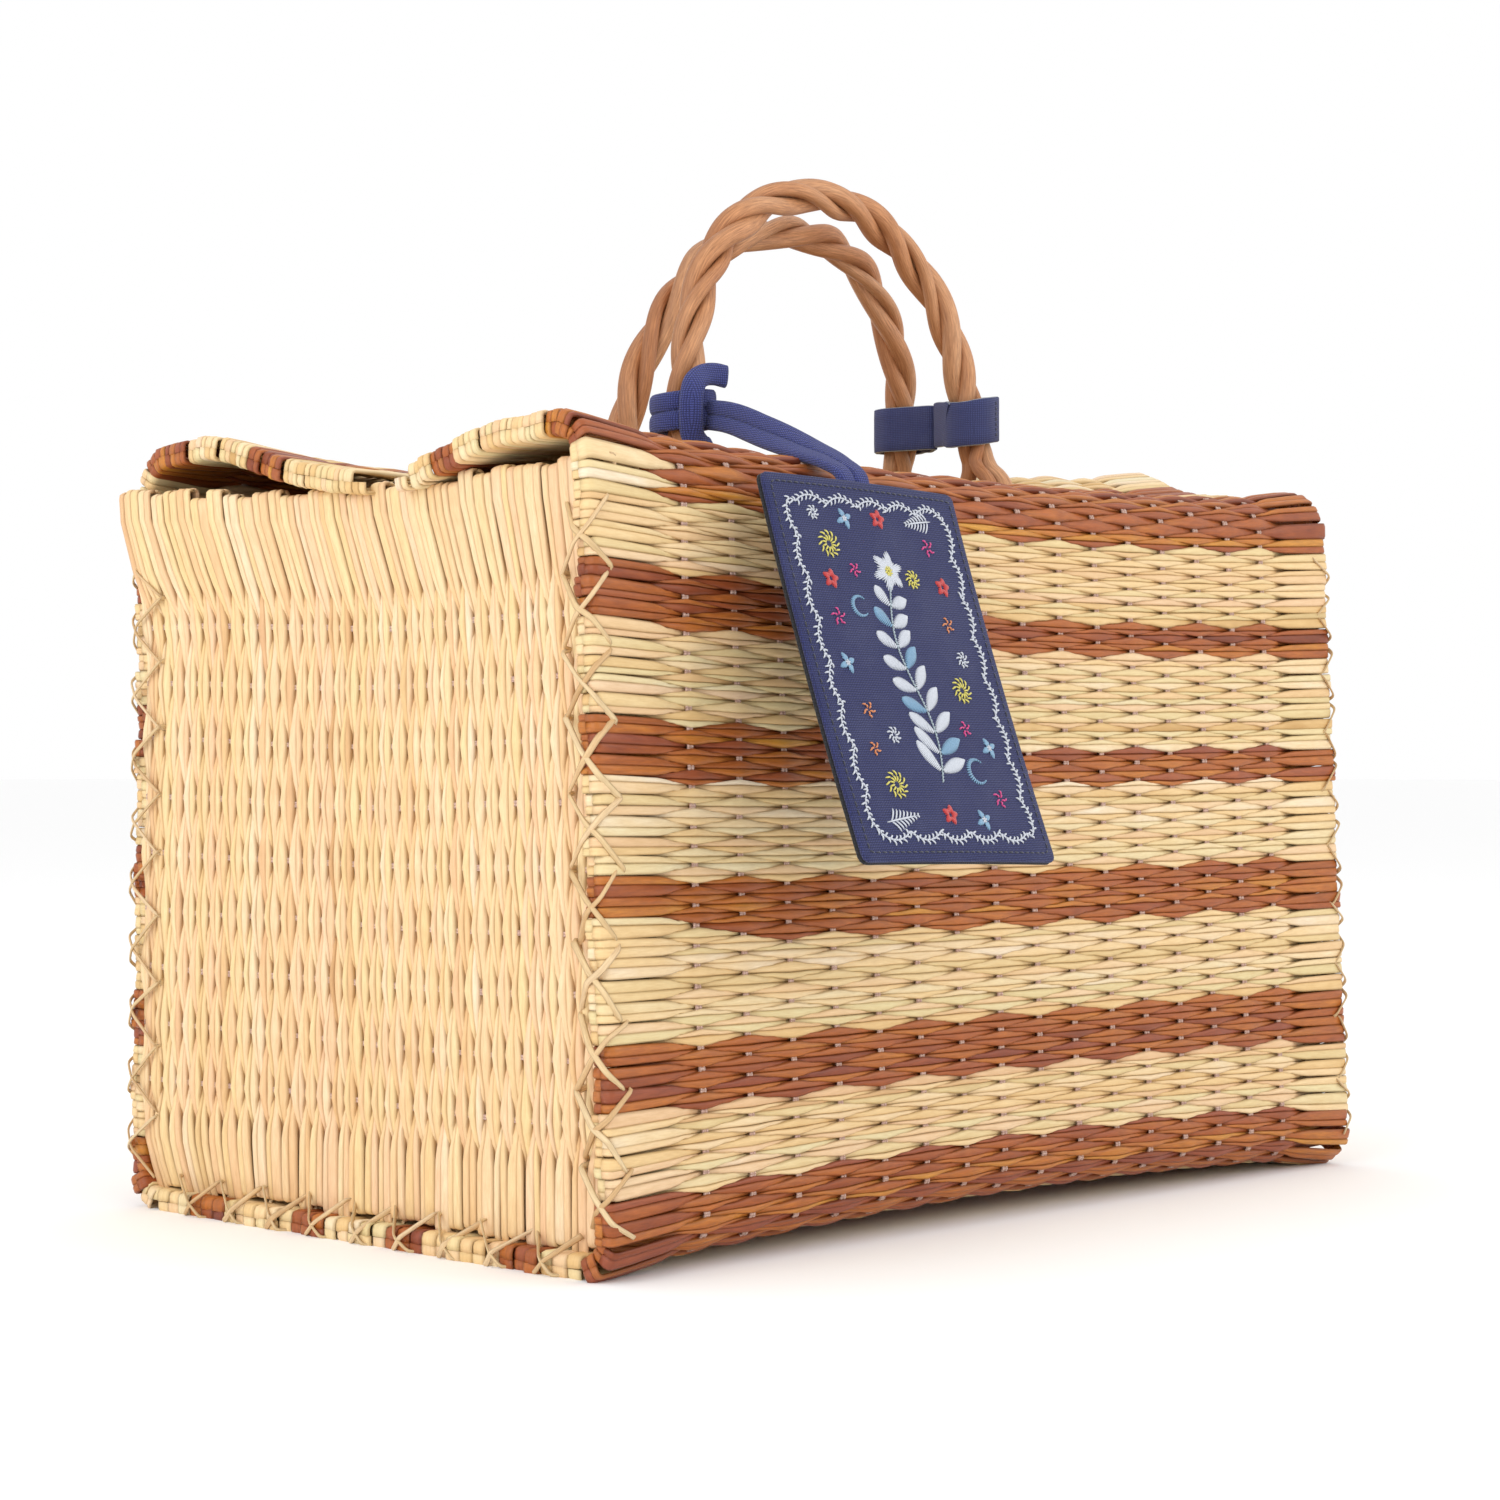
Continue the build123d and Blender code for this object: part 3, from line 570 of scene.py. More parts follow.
@dataclass
class Weave:
    """Reeds woven over and under cotton cords.

    Attributes:
        surface: Middle surface of the mat.
        ends: Places of the mat's two selvedges along the reeds.
        seed: Seed of the reeds' random widths, turns and shades.
        first_cord: Place of the first cord.
        cord_pitch: Distance between cords.
        cords: Number of cords.
        steps: Stations per cord pitch.
        swing: How far a reed passes to either side of its mean level.
        bias: Mean level of the reeds, from the middle surface towards the face.
        edge_swing: The same at the selvedges, where the reeds fold round.
        lens: How much taller a row is at a cord than where it crosses the middle surface.
        edge_lens: The same outside the first and last cords.
        half_depth: Half the thickness of a reed.
        ragged: How far the folded ends stand in and out at random.
    """

    surface: MatField
    ends: tuple[float, float]
    seed: int
    first_cord: float = -150.0
    cord_pitch: float = 20.0
    cords: int = 16
    steps: int = 5
    swing: float = 0.95
    bias: float = 0.35
    edge_swing: float = 3.5
    lens: float = 0.72
    edge_lens: float = 0.96
    half_depth: float = 1.0
    ragged: float = 1.0

    FOLD_INSETS = (0.0, 0.0, 0.4, 1.5, 9.0)
    FOLD_SWING = (0.0, 0.6, 0.9, 1.0, 1.0)
    FOLD_FACING = (1.0, 0.96, 0.5, 0.0, 0.0)
    EDGE_PACE = 1.35  # of the weave outside the cords
    EDGE_LENS_DROP = 0.22  # of the lens from the selvedge to the outer cords
    EDGE_HALF_DEPTH = 0.6
    HALF_FILL = 0.53  # half of a reed's share of its row, and a little to press on the next
    # How far from a selvedge the rows behind move over, the folds are ragged, and lens and swing change.
    MOVE_REACH, RAGGED_REACH, LENS_REACH, SWING_REACH = 26.0, 30.0, 34.0, 36.0
    EDGE_UNEVEN = 0.07  # of a row's height, at random
    CUT = (0.34, 0.66)  # lower reed's share of a row of two
    LEVEL = 0.14  # random level of a whole reed, in mm
    TILT = 0.14  # random turn of a whole reed about its own line, in radians
    # Slow changes along a reed, as (size, distance between independent values in mm).
    PLACE_DRIFT = (0.025, 37.0)
    LEVEL_DRIFT = (0.1, 23.0)
    TILT_DRIFT = (0.06, 31.0)
    WIDTH_DRIFT = (0.05, 19.0)
    TONE_DRIFT = (0.16, 45.0)

    def _phase(self, place: Array) -> Array:
        """Half turns of the weave: 0 at the first cord, quicker outside the cords, held after one."""
        t = (place - self.first_cord) / self.cord_pitch
        last = self.cords - 1.0
        after = np.where(t > last, last + (t - last) * self.EDGE_PACE, t)
        t = np.where(t < 0, t * self.EDGE_PACE, after)
        return np.pi * np.clip(t, -1.0, last + 1.0)

    def _stations(self) -> tuple[Array, Array, Array]:
        """Places along a reed, share of the swing there, and how far its face turns to the mat's end."""
        low, high = self.ends
        first = self.first_cord - self.cord_pitch
        last = self.first_cord + self.cord_pitch * self.cords
        inner = np.linspace(first, last, (self.cords + 1) * self.steps + 1)
        insets, facing = np.array(self.FOLD_INSETS), np.array(self.FOLD_FACING)
        place = np.concatenate([low + insets, inner, high - insets[::-1]])
        share = np.concatenate([self.FOLD_SWING, np.ones(len(inner)), self.FOLD_SWING[::-1]])
        return place, share, np.concatenate([-facing, np.zeros(len(inner)), facing[::-1]])

    def hidden_station(self, row: int, place: float) -> int:
        """Station nearest to a place at which a row passes behind a cord's front row."""
        stations, _, _ = self._stations()
        behind = np.cos(self._phase(stations)) * (1.0 if row % 2 == 0 else -1.0) < -0.99
        return int(np.argmin(np.abs(stations - place) + np.where(behind, 0.0, 1e4)))

    def _edge(self, place: Array, reach: float) -> tuple[Array, Array]:
        """Nearness, from 0 to 1, to the low and to the high selvedge within a reach."""
        low, high = self.ends
        return smooth(1.0 - (place - low) / reach), smooth(1.0 - (high - place) / reach)

    def _row_heights(self, row: Array, place: Array, up: Array, jag: Array) -> Array:
        """Height of each row along it: pitch x (1 + lens x cos^2 phase), uneven outside the cords."""
        phase = self._phase(place)
        outside = np.maximum(-phase, phase - np.pi * (self.cords - 1)) / np.pi
        outside = smooth((outside - 0.15) / 0.6)
        beside = sum(self._edge(place, self.LENS_REACH)) - 1.0
        edge_lens = self.edge_lens + self.EDGE_LENS_DROP * beside
        lens = self.lens + (edge_lens - self.lens) * outside
        uneven = jag[(row + 7) // 2 + 150, 1:] / self.ragged * self.EDGE_UNEVEN * outside
        return np.linalg.norm(up, axis=-1) * (1.0 + lens * np.cos(phase) ** 2 + uneven)

    def _split(self, rng: np.random.Generator, rows: int, per_row: int) -> tuple[Array, Array]:
        """Each reed's share of its row's height, and how far it lies off the row's middle."""
        if per_row == 1:
            return np.ones((rows, 1)), np.zeros((rows, 1))
        cut = rng.uniform(*self.CUT, (rows, 1))
        share = np.stack([cut, 1.0 - cut], axis=1).reshape(-1, 1)
        lean = np.stack([-(1.0 - cut) / 2, cut / 2], axis=1).reshape(-1, 1)
        return share, lean

    def reeds(self, rows: Array, per_row: int = 2) -> Strands:
        """The reeds of some rows.

        A row swings as swing x cos(phase + row x pi). At a selvedge the row that lies behind moves over
        by one and folds round into the row in front.

        Args:
            rows: Row numbers.
            per_row: Reeds laid together in one row.

        Returns:
            The strands.
        """
        rng = np.random.default_rng(self.seed * 1000 + int(rows[0]))
        jag = np.random.default_rng(self.seed).uniform(-self.ragged, self.ragged, (400, 2))
        place, share_of_swing, facing = self._stations()
        row = np.repeat(np.asarray(rows), per_row)
        strands = len(row)

        def drift(amount: float, step: float) -> Array:
            return soft_noise(rng, strands, place, step) * amount

        sign = np.where(row % 2 == 0, 1.0, -1.0)[:, None]
        wave = np.cos(self._phase(place)) * sign
        near_low, near_high = self._edge(place, self.MOVE_REACH)
        behind_high = sign * math.cos(math.pi * self.cords) < 0
        moved = (sign > 0) * near_low - sign * behind_high * near_high
        wander = drift(*self.PLACE_DRIFT)
        close_low, close_high = self._edge(place, self.RAGGED_REACH)
        shift = jag[row // 2, :1] * close_low + jag[(row + 1) // 2, 1:] * close_high
        spots, normal, up = self.surface.at(place + shift, row[:, None] + 0.5 + moved)
        tall = self._row_heights(row, place, up, jag)
        share, lean = self._split(rng, len(rows), per_row)
        near = sum(self._edge(place, self.SWING_REACH))
        swing = self.swing + (self.edge_swing - self.swing) * near
        depth = self.bias * (1.0 - near) + wave * swing * share_of_swing
        depth = depth + rng.uniform(-self.LEVEL, self.LEVEL, (strands, 1)) + drift(*self.LEVEL_DRIFT)
        paths = spots + unit(up) * (tall * (lean + wander))[..., None] + normal * depth[..., None]
        along = unit(spots[:, -1:] - spots[:, :1])
        turn = (facing * np.sign(wave))[..., None]
        across, outward = frames_along(paths, normal * (1.0 - np.abs(turn)) + along * turn)
        tilt = rng.uniform(-self.TILT, self.TILT, (strands, 1)) + drift(*self.TILT_DRIFT)
        cos, sin = np.cos(tilt)[..., None], np.sin(tilt)[..., None]
        across, outward = across * cos + outward * sin, outward * cos - across * sin
        fill = self.HALF_FILL * (1.0 + drift(*self.WIDTH_DRIFT))
        shade = np.repeat(rng.beta(2.0, 2.0, (len(rows), 1)), per_row, axis=0)
        own = rng.beta(2.0, 2.0, (strands, 1))
        tone = np.clip(0.4 * shade + 0.6 * own + drift(*self.TONE_DRIFT), 0.0, 1.0)
        thick = self.half_depth - (self.half_depth - self.EDGE_HALF_DEPTH) * (close_low + close_high)
        thick = thick * rng.uniform(0.85, 1.15, (strands, 1))
        return Strands(paths, across, outward, tall * share * fill, thick, PRESSED_REED, tone)

    def warps(self, first_row: int, last_row: int, half_width: float = 1.25) -> Strands:
        """The cords between two row borders: paired threads that pass each row on its other side."""
        rng = np.random.default_rng(self.seed * 77 + first_row)
        over = np.linspace(first_row, last_row, (last_row - first_row) * 4 + 1)
        place = self.first_cord + self.cord_pitch * np.arange(self.cords)
        sign = np.where(np.arange(self.cords) % 2 == 0, 1.0, -1.0)[:, None]
        drift = soft_noise(rng, self.cords, over * ROW_PITCH, 40.0) * 0.7
        spots, normal, _ = self.surface.at(place[:, None] + drift, np.broadcast_to(over, drift.shape))
        wave = -sign * np.cos(np.pi * (over - 0.5))
        swing = self.bias + signed_power(wave, 0.7) * (self.swing + 0.15)
        paths = spots + normal * swing[..., None]
        size = half_width * (1.0 + rng.uniform(-0.15, 0.15, (self.cords, 1)))
        tone = rng.uniform(0.2, 0.9, (self.cords, 1))
        return Strands(paths, *frames_along(paths, normal), size, size * 0.42, PAIRED_THREADS, tone)


# ------------------------------------------------------------------ materials


@dataclass(frozen=True)
class ReedFinish:
    """Colours and surface of split or round plant strips.

    Attributes:
        name: Material name.
        ramp: (place, colour) stops over the strips' shade, linear RGB.
        streak: Colour of the fine lengthwise fibres.
        streak_share: How strongly fibres show.
        fibres: Fibres across a strip.
        roughness: Base roughness.
        bump: Depth of the fibres, in mm.
        tints: Two colours, one of which each strip leans towards.
        rim: How strongly the strips' rims are darkened, as painted shade for the shadow in the gaps
            between strips.
    """

    name: str
    ramp: tuple
    streak: tuple
    streak_share: float
    fibres: float
    roughness: float
    bump: float
    tints: tuple
    rim: float = 0.52


@dataclass(frozen=True)
class ClothFinish:
    """Colours and weave of a canvas, tape or cotton.

    Attributes:
        name: Material name.
        light: Colour of the threads' tops.
        dark: Painted shade between the threads, where the weave's gaps lie low.
        threads: Threads per cm.
        roughness: Base roughness.
        bump: Depth of the weave, in mm.
        worn: Colour of worn patches and cut rims.
        worn_share: How much of the face is worn.
        frayed: How strongly the cut rims show.
    """

    name: str
    light: tuple
    dark: tuple
    threads: float
    roughness: float
    bump: float
    worn: tuple = (0.5, 0.48, 0.42)
    worn_share: float = 0.0
    frayed: float = 0.0


NATURAL = ReedFinish(
    "natural reed",
    ramp=(
        (0.0, (0.60, 0.36, 0.13)),
        (0.2, (0.80, 0.54, 0.24)),
        (0.5, (0.91, 0.67, 0.35)),
        (0.8, (0.94, 0.75, 0.47)),
        (1.0, (0.96, 0.84, 0.64)),
    ),
    streak=(0.52, 0.28, 0.09),
    streak_share=0.34,
    fibres=9.0,
    roughness=0.5,
    bump=0.08,
    tints=((0.86, 0.56, 0.38), (0.78, 0.74, 0.42)),
)
BROWN = ReedFinish(
    "brown reed",
    ramp=(
        (0.0, (0.17, 0.034, 0.010)),
        (0.25, (0.32, 0.070, 0.019)),
        (0.55, (0.50, 0.135, 0.026)),
        (0.8, (0.66, 0.235, 0.032)),
        (1.0, (0.80, 0.38, 0.05)),
    ),
    streak=(0.07, 0.016, 0.008),
    streak_share=0.42,
    fibres=9.0,
    roughness=0.42,
    bump=0.08,
    tints=((0.34, 0.085, 0.05), (0.62, 0.20, 0.03)),
)
PANEL = ReedFinish(
    "panel reed",
    ramp=(
        (0.0, (0.66, 0.38, 0.17)),
        (0.2, (0.86, 0.57, 0.28)),
        (0.6, (0.94, 0.70, 0.41)),
        (1.0, (0.97, 0.80, 0.56)),
    ),
    streak=(0.56, 0.30, 0.12),
    streak_share=0.42,
    fibres=9.0,
    roughness=0.5,
    bump=0.08,
    tints=((0.90, 0.58, 0.38), (0.92, 0.74, 0.36)),
)
LACING = ReedFinish(
    "lacing strip",
    ramp=((0.0, (0.62, 0.38, 0.17)), (0.5, (0.82, 0.58, 0.31)), (1.0, (0.92, 0.74, 0.48))),
    streak=(0.36, 0.19, 0.08),
    streak_share=0.5,
    fibres=6.0,
    roughness=0.5,
    bump=0.12,
    tints=((0.80, 0.50, 0.32), (0.82, 0.68, 0.38)),
)
WILLOW = ReedFinish(
    "willow",
    ramp=((0.0, (0.46, 0.17, 0.062)), (0.5, (0.70, 0.33, 0.145)), (1.0, (0.84, 0.49, 0.27))),
    streak=(0.13, 0.038, 0.014),
    streak_share=0.68,
    fibres=22.0,
    roughness=0.45,
    bump=0.22,
    tints=((0.66, 0.32, 0.20), (0.62, 0.33, 0.12)),
)
NAVY = ClothFinish(
    "navy canvas",
    light=(0.024, 0.033, 0.155),
    dark=(0.006, 0.008, 0.044),
    threads=14.0,
    roughness=0.88,
    bump=0.20,
    worn=(0.30, 0.33, 0.45),
    worn_share=0.10,
)
BAND = ClothFinish(
    "navy band",
    light=(0.050, 0.062, 0.20),
    dark=(0.020, 0.026, 0.085),
    threads=15.0,
    roughness=0.9,
    bump=0.16,
    worn=(0.33, 0.36, 0.38),
    worn_share=0.10,
    frayed=1.0,
)
TAPE = ClothFinish(
    "navy tape",
    light=(0.060, 0.078, 0.33),
    dark=(0.012, 0.017, 0.085),
    threads=13.0,
    roughness=0.9,
    bump=0.45,
)
BACKING = ClothFinish(
    "dark backing",
    light=(0.020, 0.021, 0.026),
    dark=(0.006, 0.006, 0.008),
    threads=10.0,
    roughness=0.9,
    bump=0.12,
)
COTTON = ClothFinish(
    "cotton cord",
    light=(0.66, 0.46, 0.38),
    dark=(0.36, 0.21, 0.16),
    threads=12.0,
    roughness=0.9,
    bump=0.15,
    worn=(0.9, 0.8, 0.74),
    worn_share=0.1,
)


class Graph:
    """Small wrapper that adds nodes to a node tree and joins them."""

    def __init__(self, tree: bpy.types.NodeTree):
        self.tree = tree

    def fill(self, node: bpy.types.Node, inputs: dict) -> None:
        """Fills a node's inputs, by name or number, with values or joins."""
        for key, value in inputs.items():
            if isinstance(value, bpy.types.NodeSocket):
                self.tree.links.new(value, node.inputs[key])
            else:
                node.inputs[key].default_value = value

    def add(self, kind: str, inputs: dict | None = None, **settings: object) -> bpy.types.Node:
        """Adds a node, sets its properties and fills its inputs."""
        node = self.tree.nodes.new(kind)
        for key, value in settings.items():
            setattr(node, key, value)
        self.fill(node, inputs or {})
        return node

    def math(self, operation: str, *values: object) -> bpy.types.NodeSocket:
        """Result of a math node."""
        return self.add("ShaderNodeMath", dict(enumerate(values)), operation=operation).outputs[0]

    def mix(self, factor: object, a: object, b: object) -> bpy.types.NodeSocket:
        """Colour mixed from a to b by a factor; plain colours are linear RGB."""
        ends = (end if isinstance(end, bpy.types.NodeSocket) else (*end, 1.0) for end in (a, b))
        node = self.add("ShaderNodeMix", data_type="RGBA")
        self.fill(node, dict(zip((0, 6, 7), (factor, *ends))))
        return node.outputs[2]

    def noise(self, vector: object, scale: float, detail: float = 2.0, rough: float = 0.5) -> object:
        """Value of a 3D noise."""
        inputs = {"Vector": vector, "Scale": scale, "Detail": detail, "Roughness": rough}
        return self.add("ShaderNodeTexNoise", inputs).outputs[0]

    def scaled(self, vector: object, factors: tuple) -> bpy.types.NodeSocket:
        """A vector times three factors."""
        return self.add("ShaderNodeVectorMath", {0: vector, 1: factors}, operation="MULTIPLY").outputs[0]

    def attribute(self, name: str) -> bpy.types.NodeSocket:
        """Value of a mesh attribute."""
        return self.add("ShaderNodeAttribute", attribute_name=name).outputs["Fac"]

    def ramp(self, value: object, stops: tuple) -> bpy.types.NodeSocket:
        """Colour from a ramp of (place, linear RGB) stops."""
        node = self.add("ShaderNodeValToRGB", {0: value})
        elements = node.color_ramp.elements
        while len(elements) < len(stops):
            elements.new(0.5)
        for element, (place, colour) in zip(elements, stops):
            element.position = place
            element.color = (*colour, 1.0)
        return node.outputs[0]


def new_group(name: str, entry: str, outputs: tuple) -> tuple[Graph, bpy.types.NodeSocket]:
    """A shader node group of one number in and several out; gives its graph and its input."""
    tree = bpy.data.node_groups.new(name, "ShaderNodeTree")
    tree.interface.new_socket(entry, in_out="INPUT", socket_type="NodeSocketFloat")
    for label in outputs:
        tree.interface.new_socket(label, in_out="OUTPUT", socket_type="NodeSocketFloat")
    g = Graph(tree)
    return g, g.add("NodeGroupInput").outputs[entry]


def fibre_group() -> bpy.types.NodeTree:
    """Node group of lengthwise fibres along the "lay" map, shared by every plant material.

    Takes the number of fibres across; gives a fibre value, a slow stain value, a height and a random
    number for each strip.
    """
    g, fibres = new_group("plant fibres", "Fibres", ("Fibre", "Stain", "Height", "Strip"))
    uv = g.add("ShaderNodeUVMap", uv_map="lay").outputs[0]
    along, across, _ = g.add("ShaderNodeSeparateXYZ", {0: uv}).outputs
    spots = {0: g.math("MULTIPLY", along, 0.9), 1: g.math("MULTIPLY", across, fibres), 2: 0.0}
    lay = g.add("ShaderNodeCombineXYZ", spots).outputs[0]
    fibre = g.noise(lay, 1.6, 4.0, 0.62)
    fine = g.noise(g.scaled(lay, (1.0, 3.1, 1.0)), 2.4, 2.0, 0.6)
    stain = g.noise(g.scaled(lay, (0.5, 0.22, 1.0)), 1.1)
    both = g.math("ADD", g.math("MULTIPLY", fibre, 0.6), g.math("MULTIPLY", fine, 0.4))
    strip = g.add("ShaderNodeTexWhiteNoise", {"W": g.math("FLOOR", across)}, noise_dimensions="1D")
    ends = {"Fibre": both, "Stain": stain, "Height": both, "Strip": strip.outputs["Value"]}
    g.add("NodeGroupOutput", ends)
    return g.tree


def thread_group() -> bpy.types.NodeTree:
    """Node group of a plain weave of threads in object space, shared by every cloth material.

    Three wave sets at right angles: a point takes threads along the two axes its face lies nearest to.
    Gives the threads' height and a slow fade value.
    """
    g, threads = new_group("cloth threads", "Threads per cm", ("Height", "Fade"))
    place = g.add("ShaderNodeTexCoord").outputs["Object"]
    turns = g.math("MULTIPLY", threads, 100.0 * math.pi)
    wobble = g.math("MULTIPLY", g.noise(place, 260.0), 2.2)
    waves = []
    for part in g.add("ShaderNodeSeparateXYZ", {0: place}).outputs:
        angle = g.math("ADD", g.math("MULTIPLY", part, turns), wobble)
        waves.append(g.math("ABSOLUTE", g.math("SINE", angle)))
    facing = g.add("ShaderNodeSeparateXYZ", {0: g.add("ShaderNodeTexCoord").outputs["Normal"]})
    nx, ny, nz = (g.math("ABSOLUTE", part) for part in facing.outputs)
    to_x = g.math("GREATER_THAN", nx, g.math("MAXIMUM", ny, nz))
    not_x = g.math("SUBTRACT", 1.0, to_x)
    to_y = g.math("MULTIPLY", not_x, g.math("GREATER_THAN", ny, nz))
    to_z = g.math("SUBTRACT", not_x, to_y)
    weave = 0.0
    for share, first, second in ((to_x, 1, 2), (to_y, 0, 2), (to_z, 0, 1)):
        pair = g.math("MULTIPLY", waves[first], waves[second])
        weave = g.math("ADD", weave, g.math("MULTIPLY", share, pair))
    g.add("NodeGroupOutput", {"Height": weave, "Fade": g.noise(place, 55.0, 4.0, 0.6)})
    return g.tree


@dataclass(frozen=True)
class Surface:
    """What a material gives its shader.

    Attributes:
        colour: Base colour.
        roughness: Roughness.
        height: Height for the bump.
        depth: The bump's depth, in mm.
        strength: The bump's strength.
        sheen: Sheen weight.
        specular: Specular level.
    """

    colour: object
    roughness: object
    height: object
    depth: float
    strength: float
    sheen: float = 0.0
    specular: float = 0.5


class Palette:
    """Makes each material once and hands it out."""

    def __init__(self) -> None:
        self.fibres = fibre_group()
        self.threads = thread_group()
        self.made: dict[str, bpy.types.Material] = {}

    def _make(self, name: str, design: Callable[[Graph], Surface]) -> bpy.types.Material:
        """The material of a name, built from its design when it is first asked for."""
        if name not in self.made:
            material = bpy.data.materials.new(name)
            material.use_nodes = True
            material.node_tree.nodes.clear()
            g = Graph(material.node_tree)
            look = design(g)
            bump = {"Height": look.height, "Distance": look.depth * MM, "Strength": look.strength}
            sockets = {
                "Base Color": look.colour,
                "Roughness": look.roughness,
                "Normal": g.add("ShaderNodeBump", bump).outputs[0],
                "Sheen Weight": look.sheen,
                "Specular IOR Level": look.specular,
            }
            shader = g.add("ShaderNodeBsdfPrincipled", sockets)
            g.add("ShaderNodeOutputMaterial", {"Surface": shader.outputs[0]})
            self.made[name] = material
        return self.made[name]

    def reed(self, finish: ReedFinish) -> bpy.types.Material:
        """Plant material: shade per strip, fibres, stains, and painted shade along the strips' rims for
        the gaps' shadow.
        """

        def design(g: Graph) -> Surface:
            lay = g.add("ShaderNodeGroup", node_tree=self.fibres)
            g.fill(lay, {"Fibres": finish.fibres})
            fibre, stain, height, lot = lay.outputs
            shift = g.math("MULTIPLY", g.math("SUBTRACT", stain, 0.5), 0.55)
            colour = g.ramp(g.math("ADD", g.attribute("tone"), shift), finish.ramp)
            for tint, draw in zip(finish.tints, (lot, g.math("SUBTRACT", 1.0, lot))):
                share = g.math("MAXIMUM", g.math("SUBTRACT", draw, 0.6), 0.0)
                colour = g.mix(g.math("MULTIPLY", share, 1.5), colour, tint)
            marks = g.math("SUBTRACT", 1.0, g.math("MULTIPLY", fibre, 1.55))
            marks = g.math("MULTIPLY", g.math("MAXIMUM", marks, 0.0), 2.2 * finish.streak_share)
            colour = g.mix(g.math("MINIMUM", marks, 0.85), colour, finish.streak)
            # Painted shade: the strips' rims turn dark to stand in for the shadow in the gaps between
            # strips.
            rim_painted_shade = tuple(0.45 * c for c in finish.ramp[0][1])
            colour = g.mix(g.math("MULTIPLY", g.attribute("rim"), finish.rim), colour, rim_painted_shade)
            rough = g.math("ADD", finish.roughness - 0.08, g.math("MULTIPLY", stain, 0.2))
            return Surface(colour, rough, height, finish.bump, 0.9, specular=0.38)

        return self._make(finish.name, design)

    def cloth(self, finish: ClothFinish) -> bpy.types.Material:
        """Cloth material: light thread tops, painted shade in the gaps, faded patches and frayed rims.
        """

        def design(g: Graph) -> Surface:
            weave = g.add("ShaderNodeGroup", node_tree=self.threads)
            g.fill(weave, {"Threads per cm": finish.threads})
            height, fade = weave.outputs
            # Painted shade: the colour runs from the dark colour in the weave's low gaps to the light
            # one on the threads' tops.
            colour = g.mix(height, finish.dark, finish.light)
            worn = g.math("MULTIPLY", g.math("SUBTRACT", fade, 0.48), 4.0 * finish.worn_share)
            worn = g.math("MULTIPLY", g.math("MAXIMUM", worn, 0.0), height)
            colour = g.mix(worn, colour, finish.worn)
            frayed = g.math("GREATER_THAN", g.attribute("rim"), 0.93)
            frayed = g.math("MULTIPLY", frayed, finish.frayed)
            frayed = g.math("MULTIPLY", frayed, g.math("MULTIPLY", fade, 1.8))
            colour = g.mix(g.math("MINIMUM", frayed, 1.0), colour, finish.worn)
            return Surface(colour, finish.roughness, height, finish.bump, 0.8, sheen=0.12)

        return self._make(finish.name, design)

    def thread(self, name: str, colour: tuple) -> bpy.types.Material:
        """Embroidery thread: one colour with fine twist lines along the thread, painted as shade in the
        twist's grooves.
        """

        def design(g: Graph) -> Surface:
            uv = g.add("ShaderNodeUVMap", uv_map="lay").outputs[0]
            twist = g.noise(g.scaled(uv, (26.0, 5.0, 1.0)), 1.0)
            # Painted shade: the twist's low grooves take a darker copy of the thread's colour.
            dark = tuple(0.55 * c for c in colour)
            return Surface(g.mix(twist, dark, colour), 0.42, twist, 0.12, 0.7, sheen=0.3)

        return self._make(name, design)


def settle(
    piece: bpy.types.Object,
    material: bpy.types.Material,
    slot: str | None,
    body: str | None,
    *nodes: str,
) -> None:
    """Gives a piece its material and its place in the part.

    Args:
        piece: The piece.
        material: Its material.
        slot: Not used.
        body: The body it rides on, or None to attach it to none.
        nodes: The nodes it stands for.
    """
    piece.data.materials.append(material)
    if body:
        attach(piece, body)
    if nodes:
        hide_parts(*nodes)


# ------------------------------------------------------------------ woven body


STRIPE_ROWS = 6  # in a whole brown stripe


class Dye(Enum):
    """The two colours of the long mats' reeds."""

    NATURAL = NATURAL
    BROWN = BROWN

    @property
    def word(self) -> str:
        """The colour's name as the pieces' names and slots have it."""
        return self.name.lower()


def dyed_rows(total: int, stripes: list, dye: Dye, start: int = 0, stop: int | None = None) -> Array:
    """Numbers of a mat's rows of one colour, from start up to stop.

    Args:
        total: The mat's rows.
        stripes: (first row, rows) of each brown stripe.
        dye: The colour.
        start: First row looked at.
        stop: Row after the last one looked at.
    """
    brown = np.zeros(total, bool)
    for first, count in stripes:
        brown[first : first + count] = True
    rows = np.arange(total)[start:stop]
    return rows[brown[rows] == (dye is Dye.BROWN)]


@dataclass(frozen=True)
class Join:
    """A row of a mat in which a brown and a natural reed meet.

    Attributes:
        row: The row.
        place: Where they meet, nearly: the join hides behind the nearest cord.
        left: Colour of the left reed.
        wide: True if each half is one wide reed.
    """

    row: int
    place: float
    left: Dye
    wide: bool = False


